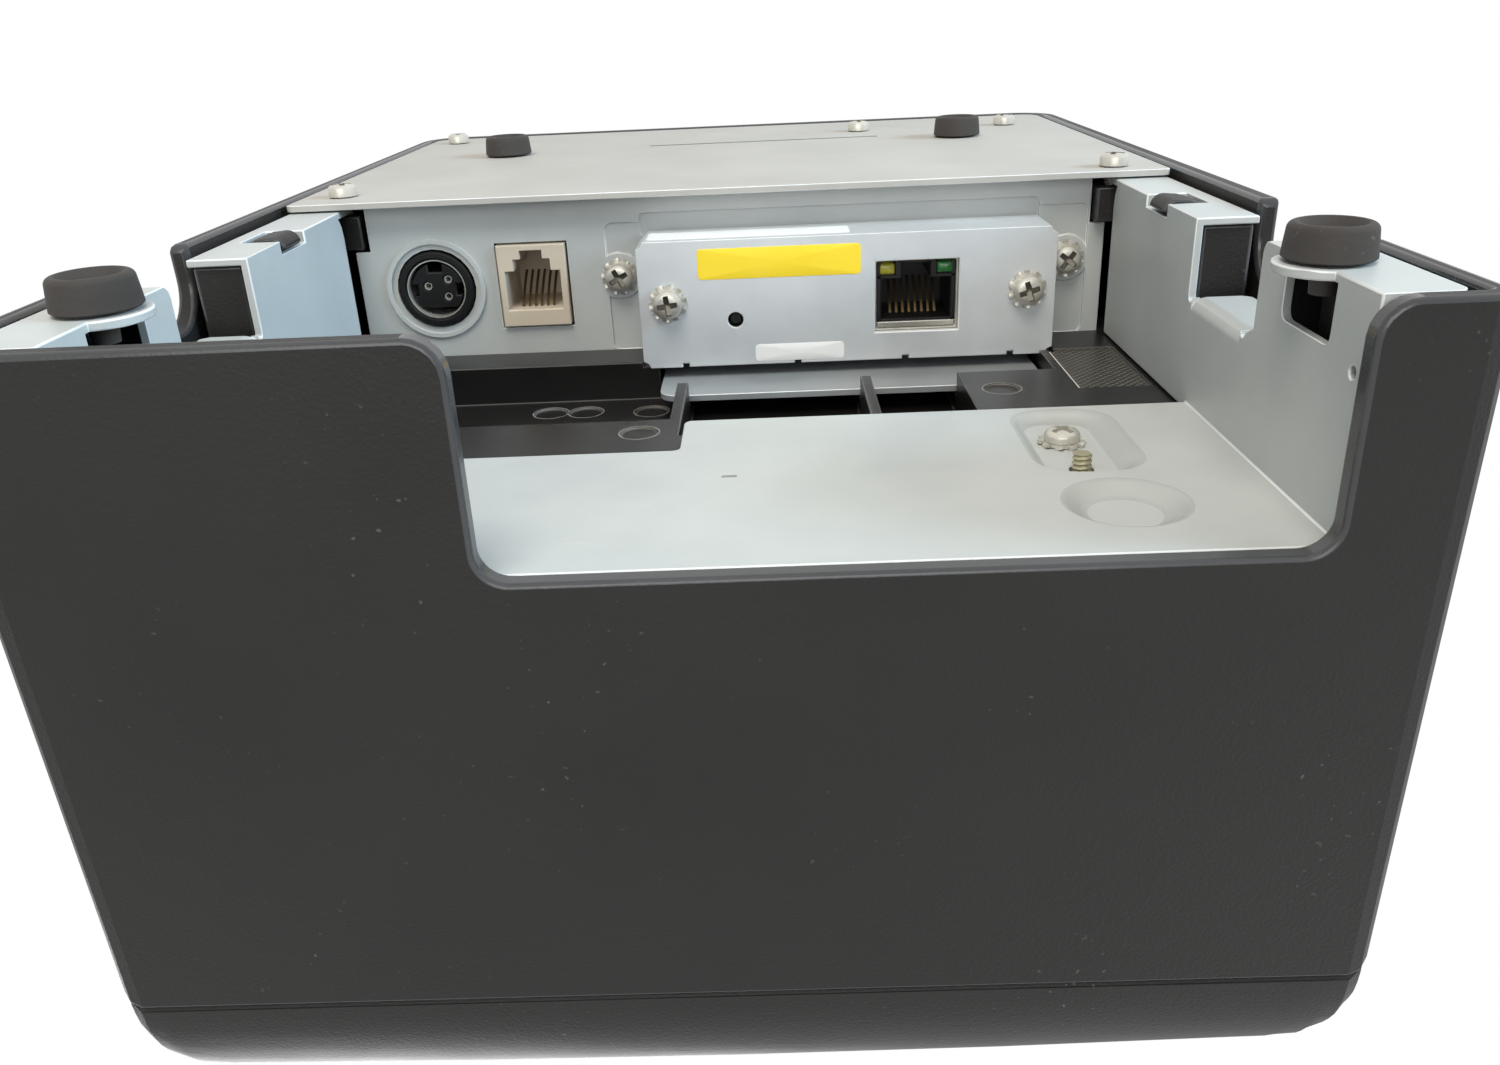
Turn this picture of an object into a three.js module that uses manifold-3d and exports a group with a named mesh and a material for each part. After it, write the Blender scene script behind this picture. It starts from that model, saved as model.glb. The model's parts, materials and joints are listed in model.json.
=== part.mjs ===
// Thermal receipt printer for 80 mm paper, seen in the photograph from its cable side.
// Millimetres. +Z is up, +Y is the rear with the cable cavity, -Y is the front with the paper exit.
// The origin is on the floor, under the middle of the printer.

import * as THREE from "three";
import { mergeVertices } from "three/addons/utils/BufferGeometryUtils.js";
import Module from "manifold-3d";

const wasm = await Module();
wasm.setup();

// ---------------------------------------------------------------- driving sizes

// Overall
const width = 145;
const depth = 195;
const height = 148;

// Plastic housing
const wall = 2.5;
const sideDraft = 1.2;
const skirtHeight = 3.7;
const seamHeight = 81;
const seamGap = 0.4;
const capDrop = 44;
const capDepth = 48.5;
const rearCorner = 3;
const frontCorner = 9;
const frontLean = 3;
const frontLeanTop = 60;
const lidRearRadius = 23;
const lidRearSweep = 42.5;
const lidEdgeRound = 8;
const lidCrown = 1;
const lidNose = 2;
const capTopDrop = 5;
const capTopSlope = 2;
const capRound = 20;
const capSplit = 33;
const capWall = 2.2;

// Sheet metal
const sheet = 1;
const plateClear = 0.2;
const plateSideClear = 0.94;
const plateFrontClear = 1.2;
const cavityDepth = 92.1;
const wallInset = 11.7;
const ceilingHeight = 28.5;
const ceilingReach = 48.7;
const ceilingStep = 11.5;
const ceilingStepX = -5.5;
const flangeWidth = 7;
const frameRearClear = 3;

// Cable exits
const notchLeft = -22.8;
const notchRight = 59.4;
const notchTop = 28.2;
const notchLipRadius = 8;
const notchRadius = 4.5;
const exitFront = 51.7;
const exitLength = 21.6;
const exitTop = 15;

// Feet and screws
const footRadius = 4.6;
const footTread = 3.9;
const rearFootSideInset = 10.3;
const rearFootInset = 17.5;
const frontFootSideInset = 27.5;
const frontFootInset = 47.5;
const stemRadius = 1.7;
const screwRadius = 1.4;
const screwHead = 2.6;
const screwHeadHeight = 1.9;
const washerRadius = 3.1;

// Sockets on the connector panel
const powerX = -48.1;
const powerZ = 18.6;
const powerRadius = 6.15;
const drawerX = -32;
const drawerZ = 18.6;
const drawerWidth = 11.2;
const drawerHeight = 13.3;
const lanX = 29.25;
const lanZ = 20.4;
const lanWidth = 14.1;
const lanHeight = 12.3;
const bracketLeft = -13.9;
const bracketRight = 50.6;
const bracketBottom = 10.6;
const bracketTop = 30.4;
const bracketStand = 10.9;
const bracketScrewZ = 20;
const resetX = 1;
const resetZ = 23.1;

// Paper roll bay
const rollRadius = 41.5;
const rollClear = 2.5;
const paperWidth = 80;
const bayWall = 2;
const rollRearInset = 73.5;
const chassisThickness = 8.5;

// Print mechanism, measured down from the top and back from the front
const platenRadius = 6;
const platenDrop = 28;
const platenInset = 55.5;
const shaftRadius = 2.5;
const bushRadius = 4.5;
const module_ = 0.6;
const platenTeeth = 30;
const idlerTeeth = 40;
const pinionTeeth = 14;
const cutterTeeth = 20;
const gearWidth = 3.8;
const backlash = 0.28;
const bladeTravel = 8;
const motorRadius = 14;
const motorLength = 27;

// Clearances
const gap = 0.3;
const runGap = 0.3;

// ---------------------------------------------------------------- places worked out from them

const half = width / 2;
const rear = depth / 2;
const front = -depth / 2;
const capFloor = height - capDrop;
const capRear = front + capDepth - seamGap / 2;
const lidFront = front + capDepth + seamGap / 2;
const upperHalf = half - sideDraft;
const rearFootX = half - rearFootSideInset;
const frontFootX = half - frontFootSideInset;
const plateHalf = half - wall - plateSideClear;
const plateUnder = skirtHeight + plateClear;
const flangeUnder = plateUnder + sheet + gap;
const flangeOver = flangeUnder + sheet;
const padUnder = plateUnder;
const padOver = padUnder + sheet;
const panelY = rear - cavityDepth;
const bracketY = panelY + bracketStand;
const cavityHalf = half - wallInset;
const ceilingFront = rear - ceilingReach;
const plateRear = panelY + 3.9;
const chassisUnder = ceilingHeight + sheet + gap;
const chassisOver = chassisUnder + chassisThickness;
const bayRadius = rollRadius + rollClear;
const bayY = rear - rollRearInset;
const bayZ = chassisOver + gap + bayWall + bayRadius;
const bayHalf = paperWidth / 2 + 2;
const hingeY = rear - 7.5;
const hingeZ = seamHeight + 7;
const hingeSweep = Math.hypot(rear - hingeY, hingeZ - seamHeight - seamGap);
const platenY = front + platenInset;
const platenZ = height - platenDrop;
const liftAngle = Math.atan2(hingeY - platenY, platenZ - hingeZ);
const pitch = (teeth) => (module_ * teeth) / 2;
const idlerY = platenY - (pitch(platenTeeth) + pitch(idlerTeeth)) * Math.cos(liftAngle);
const idlerZ = platenZ - (pitch(platenTeeth) + pitch(idlerTeeth)) * Math.sin(liftAngle);
const pinionReach = pitch(idlerTeeth) + pitch(pinionTeeth);
const pinionAngle = (216.5 * Math.PI) / 180;
const motorY = idlerY + pinionReach * Math.cos(pinionAngle);
const motorZ = idlerZ + pinionReach * Math.sin(pinionAngle);
const frameHalf = paperWidth / 2 + 10;
const gearNear = frameHalf + sheet + 2;
const gearFar = gearNear + gearWidth;

// ---------------------------------------------------------------- finishes

const finish = (color, roughness, metalness) =>
  new THREE.MeshStandardMaterial({ color, roughness, metalness });
const charcoal = finish(0x3e3c3a, 0.62, 0);
const black = finish(0x1e1c1a, 0.5, 0);
const painted = finish(0xa9acab, 0.45, 0.35);
const paintedPlate = finish(0xc8c5c0, 0.42, 0.35);
const galvanised = finish(0xbec3c6, 0.38, 0.7);
const zinc = finish(0xd6d4cc, 0.28, 0.9);
const steel = finish(0xb4b6b8, 0.25, 0.95);
const aluminium = finish(0xc9cbcc, 0.4, 0.9);
const rubber = finish(0x3c3734, 0.85, 0);
const rollerRubber = finish(0x2b2b2d, 0.75, 0);
const ivory = finish(0xc8b9a5, 0.5, 0);
const nylon = finish(0xe8e4d8, 0.45, 0);
const greenBoard = finish(0x2f5f3a, 0.5, 0);
const smoke = finish(0x585a5e, 0.2, 0);

// ---------------------------------------------------------------- solids

// A closed three.js geometry as a solid that can be cut and joined.
function solid(geometry) {
  const bare = geometry.clone();
  bare.deleteAttribute("normal");
  bare.deleteAttribute("uv");
  const merged = mergeVertices(bare, 1e-4);
  return new wasm.Manifold(new wasm.Mesh({
    numProp: 3,
    vertProperties: new Float32Array(merged.attributes.position.array),
    triVerts: new Uint32Array(merged.index.array),
  }));
}

const join = (...pieces) => pieces.flat().reduce((sum, piece) => sum.add(piece));
const cut = (body, ...tools) => tools.flat().reduce((rest, tool) => rest.subtract(tool), body);

function box(x0, x1, y0, y1, z0, z1) {
  const block = new THREE.BoxGeometry(x1 - x0, y1 - y0, z1 - z0);
  block.translate((x0 + x1) / 2, (y0 + y1) / 2, (z0 + z1) / 2);
  return solid(block);
}

// The same box on the left or the right of the middle.
const sideBox = (side, near, far, y0, y1, z0, z1) =>
  side > 0 ? box(near, far, y0, y1, z0, z1) : box(-far, -near, y0, y1, z0, z1);

// A flat outline pushed along an axis. The outline is drawn in (Y,Z), (X,Z) or (X,Y).
function prism(axis, shape, from, to, curveSegments = 6) {
  const low = Math.min(from, to);
  const high = Math.max(from, to);
  const bar = new THREE.ExtrudeGeometry(shape, { depth: high - low, bevelEnabled: false, curveSegments });
  const turn = new THREE.Matrix4();
  if (axis === "x") turn.set(0, 0, 1, low, 1, 0, 0, 0, 0, 1, 0, 0, 0, 0, 0, 1);
  if (axis === "y") turn.set(1, 0, 0, 0, 0, 0, -1, high, 0, 1, 0, 0, 0, 0, 0, 1);
  if (axis === "z") turn.set(1, 0, 0, 0, 0, 1, 0, 0, 0, 0, 1, low, 0, 0, 0, 1);
  return solid(bar.applyMatrix4(turn));
}

// A round bar along an axis, through the point (u, v) of the plane across it.
function rod(axis, u, v, radius, from, to, segments = 20, endRadius = radius) {
  const low = Math.min(from, to);
  const length = Math.abs(to - from);
  const bar = new THREE.CylinderGeometry(endRadius, radius, length, segments);
  const middle = low + length / 2;
  if (axis === "x") bar.rotateZ(-Math.PI / 2).translate(middle, u, v);
  if (axis === "y") bar.translate(u, middle, v);
  if (axis === "z") bar.rotateX(Math.PI / 2).translate(u, v, middle);
  return solid(bar);
}

// A profile of (radius, height) points turned about an upright line.
function turned(points, x, y, segments = 24) {
  const profile = points.map(([r, z]) => new THREE.Vector2(r, z));
  const form = new THREE.LatheGeometry(profile, segments);
  form.rotateX(Math.PI / 2).translate(x, y, 0);
  return solid(form);
}

const outline = (points) => new THREE.Shape(points.map(([u, v]) => new THREE.Vector2(u, v)));

// A rectangle with one radius for each corner, from the lower left and anticlockwise.
function rounded(u0, u1, v0, v1, radii) {
  const [a, b, c, d] = Array.isArray(radii) ? radii : [radii, radii, radii, radii];
  const shape = new THREE.Shape();
  shape.moveTo(u0 + a, v0);
  shape.lineTo(u1 - b, v0);
  if (b > 0) shape.absarc(u1 - b, v0 + b, b, -Math.PI / 2, 0, false);
  shape.lineTo(u1, v1 - c);
  if (c > 0) shape.absarc(u1 - c, v1 - c, c, 0, Math.PI / 2, false);
  shape.lineTo(u0 + d, v1);
  if (d > 0) shape.absarc(u0 + d, v1 - d, d, Math.PI / 2, Math.PI, false);
  shape.lineTo(u0, v0 + a);
  if (a > 0) shape.absarc(u0 + a, v0 + a, a, Math.PI, 1.5 * Math.PI, false);
  return shape;
}

const arc = (u, v, radius, fromDeg, toDeg, steps) =>
  Array.from({ length: steps + 1 }, (_, i) => {
    const angle = ((fromDeg + ((toDeg - fromDeg) * i) / steps) * Math.PI) / 180;
    return [u + radius * Math.cos(angle), v + radius * Math.sin(angle)];
  });

// Closed skin over rings of points that all have the same count. The ends are flat.
function loft(rings) {
  const count = rings[0].length;
  const positions = rings.flat().flat();
  const index = [];
  rings.slice(1).forEach((_, level) => {
    for (let i = 0; i < count; i += 1) {
      const j = (i + 1) % count;
      const a = level * count + i;
      const b = level * count + j;
      index.push(a, b, b + count, a, b + count, a + count);
    }
  });
  const flat = (ring) => {
    const fixed = [0, 1, 2].find((k) => ring.every((p) => Math.abs(p[k] - ring[0][k]) < 1e-6));
    const [u, v] = [0, 1, 2].filter((k) => k !== fixed);
    return ring.map((p) => new THREE.Vector2(p[u], p[v]));
  };
  const cap = (ring, first, start) => {
    const points = flat(ring);
    const keep = THREE.ShapeUtils.isClockWise(points) === start;
    THREE.ShapeUtils.triangulateShape(points, []).forEach(([a, b, c]) => {
      index.push(first + a, first + (keep ? b : c), first + (keep ? c : b));
    });
  };
  cap(rings[0], 0, true);
  cap(rings[rings.length - 1], (rings.length - 1) * count, false);
  const skin = new THREE.BufferGeometry();
  skin.setAttribute("position", new THREE.Float32BufferAttribute(positions, 3));
  skin.setIndex(index);
  const body = solid(skin);
  if (body.volume() >= 0) return body;
  skin.setIndex(index.reverse());
  return solid(skin);
}

const parts = new THREE.Group();

function place(name, body, material) {
  const { vertProperties, triVerts, numProp } = body.getMesh();
  const geometry = new THREE.BufferGeometry();
  const positions = new Float32Array((vertProperties.length / numProp) * 3);
  for (let i = 0; i < positions.length / 3; i += 1) {
    positions.set(vertProperties.subarray(i * numProp, i * numProp + 3), i * 3);
  }
  geometry.setAttribute("position", new THREE.BufferAttribute(positions, 3));
  geometry.setIndex(new THREE.BufferAttribute(new Uint32Array(triVerts), 1));
  geometry.computeVertexNormals();
  const mesh = new THREE.Mesh(geometry, material);
  mesh.name = name;
  parts.add(mesh);
}

const sides = [[-1, "left"], [1, "right"]];

// ---------------------------------------------------------------- housing outlines

// Plan outline of the housing at one level, moved inward by an offset.
function planRing(z, offset) {
  const share = Math.min((z - skirtHeight) / (capFloor - skirtHeight), 1);
  const x = half - sideDraft * share - offset;
  const lean = frontLean * (1 - Math.min((z - skirtHeight) / (frontLeanTop - skirtHeight), 1));
  const y0 = front + lean + offset;
  const y1 = rear - offset;
  const rf = frontCorner - offset;
  const rr = Math.max(rearCorner - offset, 0.4);
  const ring = [
    ...arc(x - rf, y0 + rf, rf, -90, 0, 6),
    ...arc(x - rr, y1 - rr, rr, 0, 90, 3),
    ...arc(-x + rr, y1 - rr, rr, 90, 180, 3),
    ...arc(-x + rf, y0 + rf, rf, 180, 270, 6),
  ];
  return ring.map(([px, py]) => [px, py, z]);
}

// Side view of the seam between the lower case and what stands on it, from the rear forward.
const seamRise = (y) => {
  const start = bayY + 16;
  const share = THREE.MathUtils.clamp((start - y) / (start - lidFront), 0, 1);
  return seamHeight + (capFloor - seamHeight) * (0.5 - 0.5 * Math.cos(Math.PI * share));
};
const seamSteps = 12;
const seamLine = (lift) => {
  const start = bayY + 16;
  const points = [[rear + 10, seamHeight + lift]];
  for (let i = 0; i <= seamSteps; i += 1) {
    const y = start + ((lidFront - start) * i) / seamSteps;
    points.push([y, seamRise(y) + lift]);
  }
  points.push([front - 10, capFloor + lift]);
  return points;
};
const aboveSeam = (lift) => prism("x", outline([
  ...seamLine(lift), [front - 10, height + 40], [rear + 10, height + 40],
]), -half - 5, half + 5);
const hingeRound = (radius) => rod("x", hingeY, hingeZ, radius, -half - 5, half + 5, 36);

// Side view of the lid's outer skin, from the rear lip over the top to the paper exit.
function lidProfile() {
  const base = seamHeight + seamGap - 4;
  const centre = seamHeight + seamGap;
  const sweep = (lidRearSweep * Math.PI) / 180;
  const kneeY = rear - lidRearRadius + lidRearRadius * Math.cos(sweep);
  const kneeZ = centre + lidRearRadius * Math.sin(sweep);
  const topRadius = (height - kneeZ) / (1 - Math.sin(sweep));
  const topY = kneeY - topRadius * Math.cos(sweep);
  return [
    [rear, base],
    ...arc(rear - lidRearRadius, centre, lidRearRadius, 0, lidRearSweep, 5),
    ...arc(topY, height - topRadius, topRadius, lidRearSweep, 90, 8).slice(1),
    [Math.min(topY, lidFront + 14) - 4, height - 0.1],
    [lidFront, height - lidNose],
  ];
}

// Side view of the front cap, from its foot up and back to the paper exit.
function capProfile() {
  const top = height - capTopDrop - capTopSlope;
  const base = capFloor + seamGap;
  return [
    [front, base - 4],
    [front, base],
    ...arc(front + capRound, top - capRound, capRound, 180, 90, 8),
    [capRear, top + capTopSlope],
  ];
}

// Points of an open profile moved to its inner side, each by its own distance.
function inward(profile, distances, centre) {
  return profile.map(([u, v], i) => {
    const [pu, pv] = profile[Math.max(i - 1, 0)];
    const [nu, nv] = profile[Math.min(i + 1, profile.length - 1)];
    const length = Math.hypot(nu - pu, nv - pv);
    let normal = [-(nv - pv) / length, (nu - pu) / length];
    const towards = normal[0] * (centre[0] - u) + normal[1] * (centre[1] - v);
    if (towards < 0) normal = [-normal[0], -normal[1]];
    return [u + normal[0] * distances[i], v + normal[1] * distances[i]];
  });
}

// Share of the full rounding at each point of a profile: none up to the point where its foot ends.
const growthLength = 25;
function growth(profile, footEnd) {
  const along = [0];
  profile.slice(1).forEach(([u, v], i) => {
    along.push(along[i] + Math.hypot(u - profile[i][0], v - profile[i][1]));
  });
  return along.map((at) => THREE.MathUtils.smoothstep(at, along[footEnd], along[footEnd] + growthLength));
}

// A skin that follows a side profile across the whole width. Its side edges start with the corner of
// the case below and grow into the edge rounding of the top, and the middle grows a slight crown.
const edgeShares = [0, 0.08, 0.3, 0.6, 1];
function crowned(profile, footEnd, footRound, closing, centre, offset) {
  const x = upperHalf - offset;
  const reach = Math.max(footRound, lidEdgeRound);
  const shares = growth(profile, footEnd);
  const rounds = shares.map((share) =>
    Math.max(THREE.MathUtils.lerp(footRound, lidEdgeRound, share) - offset, 1));
  const stations = [
    ...edgeShares.map((share) => -x + share * reach),
    -(x - reach) / 2,
    0,
    (x - reach) / 2,
    ...edgeShares.map((share) => x - share * reach).reverse(),
  ];
  const rings = stations.map((px) => {
    const edge = x - Math.abs(px);
    const distances = rounds.map((round, i) => {
      const short = Math.max(round - edge, 0);
      const drop = shares[i] * lidCrown * (px / upperHalf) ** 2;
      return round - Math.sqrt(round ** 2 - short ** 2) + drop + offset;
    });
    return [...inward(profile, distances, centre), ...closing].map(([y, z]) => [px, y, z]);
  });
  return loft(rings);
}

const lidSkin = (offset, closing) =>
  crowned(lidProfile(), 1, rearCorner, closing, [0, seamHeight - 10], offset);
const lidOuter = () => lidSkin(0, [[lidFront, seamHeight - 10], [rear - 25, seamHeight - 10]])
  .intersect(box(-half, half, lidFront, rear, 0, height));

// Space inside the lid, kept away from its outer skin by an offset.
const lidInside = (offset) => lidSkin(offset, [[lidFront - 20, height - lidNose - offset],
  [lidFront - 20, seamHeight - 12], [rear - 25, seamHeight - 12]]);

const capSkin = (offset, closing) =>
  crowned(capProfile(), 2, frontCorner, closing, [capRear, capFloor], offset);
const capOuter = () => capSkin(0, [[capRear, capFloor - 8], [front + 12, capFloor - 8]])
  .intersect(box(-half, half, front, capRear, capFloor + seamGap, height));

// ---------------------------------------------------------------- lower case

const switchX = 24.5 - half;
const switchZ = 21;
const switchWidth = 20;
const switchHeight = 13;
const bossHeight = 12;
const hookY = rear - 67;
const hookLength = 6.4;
const plateScrews = [
  [-cavityHalf - 1.4, panelY - 3.9],
  [cavityHalf + 0.8, panelY - 1.4],
  [-cavityHalf - 1.4, front + 17.2],
  [cavityHalf - 2.8, front + 28.5],
  [26.8, front + 28.5],
];
const footPlaces = [
  ["rear", rearFootX, rear - rearFootInset],
  ["front", frontFootX, front + frontFootInset],
];

function lowerCase() {
  const levels = [skirtHeight, frontLeanTop, capFloor];
  const outer = loft(levels.map((z) => planRing(z, 0)));
  const inner = loft([skirtHeight - 2, frontLeanTop, capFloor + 2].map((z) => planRing(z, wall)));
  const inside = loft([skirtHeight, frontLeanTop, capFloor].map((z) => planRing(z, wall / 2)));
  const notch = rounded(notchLeft, notchRight, skirtHeight - 20, notchTop,
    [0, 0, notchRadius, notchRadius]);
  const lip = (x, side) => outline([
    [x, skirtHeight - 1],
    ...arc(0, 0, notchLipRadius, 0, -90, 5).map(([u, v]) =>
      [x - side * (notchLipRadius - u), skirtHeight + notchLipRadius + v]),
    [x - side * notchLipRadius, skirtHeight - 1],
  ]);
  const exit = rounded(rear - exitFront - 3.4, rear - exitFront + exitLength + 3, -9, exitTop - 1,
    [0, 0, 6, 6]);
  const shell = cut(
    outer,
    inner,
    prism("y", notch, rear - 8, rear + 5, 5),
    prism("y", lip(notchLeft, 1), rear - 8, rear + 5),
    prism("y", lip(notchRight, -1), rear - 8, rear + 5),
    prism("x", exit, -half - 5, half + 5, 5),
    box(switchX - switchWidth / 2, switchX + switchWidth / 2, front - 5, front + 8,
      switchZ - switchHeight / 2, switchZ + switchHeight / 2),
    aboveSeam(0),
    hingeRound(hingeSweep + seamGap),
  );
  const fittings = sides.flatMap(([side]) => caseFittings(side)).map((piece) => piece.intersect(inside));
  const bosses = plateScrews.slice(0, 4).map(([x, y], i) => {
    const low = i < 2 ? flangeOver + gap : plateUnder + sheet + gap;
    return sideBox(Math.sign(x), Math.abs(x) - 3.2, half, y - 3.5, y + 3.5, low,
      bossHeight).intersect(inside);
  });
  const holes = plateScrews.slice(0, 4).map(([x, y]) =>
    rod("z", x, y, screwRadius + gap, 0, bossHeight - 1.5, 12));
  return cut(join(shell, fittings, bosses), holes);
}

// Ribs, hooks, foot blocks and the lid's hinge ear on one side of the case.
function caseFittings(side) {
  const near = cavityHalf + sheet + gap;
  const footY = rear - rearFootInset;
  const exitRear = rear - exitFront + exitLength;
  const earNear = upperHalf - 12.7;
  const earPad = 2.85;
  const hookX = cavityHalf + 1.3;
  const hookZ = flangeUnder + 1.2;
  const hook = join(
    sideBox(side, near + 0.9, half, hookY - hookLength / 2, hookY + hookLength / 2, flangeOver + gap,
      flangeOver + 2.6),
    prism("y", outline([
      ...arc(hookX, hookZ, 1.7, 180, 270, 5),
      [hookX + 1.9, flangeUnder - 0.35],
      [hookX + 3.7, flangeUnder + 0.2],
      [hookX + 3.7, flangeOver + 1.6],
      [hookX + 1.1, flangeOver + 1.6],
      [hookX + 0.9, flangeOver + 0.5],
    ].map(([x, z]) => [side * x, z])), hookY - hookLength / 2, hookY + hookLength / 2),
  );
  const block = cut(
    sideBox(side, rearFootX + stemRadius + 0.6, half, footY - 5.2, footY + 5.2, padOver + gap, 22),
    rod("x", footY, padOver + 2.6, 1.3, -half, half, 12),
  );
  const blockRear = rear - exitFront - 0.8;
  const ear = cut(
    join(
      prism("x", outline([
        ...arc(hingeY, hingeZ, earPad, -90, 90, 8),
        [hingeY - 14, hingeZ + earPad],
        [hingeY - 18, hingeZ - 2],
        [hingeY - 18, hingeZ - 27],
        [hingeY - 10.6, hingeZ - 27],
        [hingeY - 10.6, hingeZ - 7],
        [hingeY - 7.4, hingeZ - earPad],
      ]), side * earNear, side * (earNear + 4)),
      sideBox(side, earNear, half, hingeY - 18, hingeY - 10.6, hingeZ - 27, hingeZ - 15),
    ),
    rod("x", hingeY, hingeZ, pinRadius + gap, -half, half, 14),
  );
  return [
    hook,
    block,
    ear,
    sideBox(side, near, cavityHalf + 7.8, blockRear - 2, blockRear, flangeOver + gap / 2, exitTop + 8),
    sideBox(side, near, half, exitRear + 3.6, exitRear + 5, padOver + gap, exitTop + 8),
    sideBox(side, near, half, blockRear - 2, exitRear + 5, exitTop + 6, exitTop + 8),
  ];
}
const pinRadius = 1.2;

// ---------------------------------------------------------------- metal base

function bottomPlate() {
  const plateFront = front + frontLean + wall + plateFrontClear;
  const blank = prism("z", rounded(-plateHalf, plateHalf, plateFront, plateRear, [4, 4, 1, 1]),
    plateUnder, plateUnder + sheet, 3);
  const bead = prism("z", rounded(-17.3, 30, front + 39.5, front + 41.3, 0.9), plateUnder - 1,
    plateUnder + 0.4, 3);
  const holes = [
    ...plateScrews.map(([x0, y0]) => rod("z", x0, y0, screwRadius + gap, 0, 10, 12)),
    ...sides.map(([side]) => rod("z", side * frontFootX, front + frontFootInset, stemRadius + gap, 0,
      10, 12)),
  ];
  const posts = boardPosts.map(([x0, y0]) =>
    rod("z", x0, y0, 2.5, plateUnder + sheet / 2, boardUnder - gap, 10));
  return cut(join(blank, posts), holes, bead);
}
const boardUnder = plateUnder + sheet + 2.7;
const boardPosts = [[-50, front + 16], [50, front + 16], [-50, panelY - 14], [50, panelY - 20]];

// Folded frame round the cable cavity: two walls, the roof between them and the outward flanges.
function cavityFrame() {
  const end = rear - frameRearClear;
  const roofTop = ceilingHeight + sheet;
  const roof = outline([
    [ceilingStepX + 1.2, ceilingFront],
    [cavityHalf + sheet, ceilingFront],
    [cavityHalf + sheet, end],
    [-cavityHalf - sheet, end],
    [-cavityHalf - sheet, ceilingFront + ceilingStep],
    ...arc(ceilingStepX - 1, ceilingFront + ceilingStep - 1, 1, 90, 0, 3),
    ...arc(ceilingStepX + 1.2, ceilingFront + 1.2, 1.2, 180, 270, 3).slice(0, -1),
  ]);
  const drawn = (levels) => loft(levels.map(([z, grow]) => {
    const [x0, x1] = [groundX - 5.4 - grow, groundX + 7.2 + 1.6 * grow];
    const [y0, y1] = [groundY - 8.8 - grow, groundY + 13.4 + grow];
    const r = 4.5 + grow;
    return [
      ...arc(x0 + r, y0 + r, r, 180, 270, 4),
      ...arc(x1 - r, y0 + r, r, 270, 360, 4),
      ...arc(x1 - r, y1 - r, r, 0, 90, 4),
      ...arc(x0 + r, y1 - r, r, 90, 180, 4),
    ].map(([u, v]) => [u, v, z]);
  }));
  const recess = drawn([[ceilingHeight - 1, 0.6], [ceilingHeight, 0.3], [ceilingHeight + 0.5, -0.7],
    [recessTop, -1.7]]);
  const recessWall = drawn([[ceilingHeight + 0.3, 0.9], [roofTop, 0.9], [recessTop + 0.9, -0.6]]);
  const dimpleX = groundX + 1.6;
  const dimpleY = rear - 15.9;
  const dimple = turned([[0, ceilingHeight - 1], [7, ceilingHeight - 1], [7, ceilingHeight],
    [6.2, ceilingHeight + 0.3],
    [4.9, recessTop - 0.3], [4, recessTop], [0, recessTop]], dimpleX, dimpleY);
  const dimpleWall = turned([[0, ceilingHeight + 0.3], [7.6, ceilingHeight + 0.3], [7.6, roofTop],
    [5.2, recessTop + 0.9], [0, recessTop + 0.9]], dimpleX, dimpleY);
  const walls = sides.map(([side]) => frameWall(side, end, roofTop));
  return cut(
    join(prism("z", roof, ceilingHeight, roofTop), walls, recessWall, dimpleWall),
    recess,
    dimple,
    rod("z", groundX, groundY, screwRadius + gap, 0, 40, 12),
    rod("z", groundX + 0.2, groundY + 9.2, studRadius + gap, 0, 40, 12),
    box(0, 1.8, rear - 28, rear - 27.3, ceilingHeight - 1, roofTop + 1),
  );
}
const groundX = 42.3;
const groundY = rear - 38.6;
const recessTop = ceilingHeight + 1.5;
const studRadius = 1.2;

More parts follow.
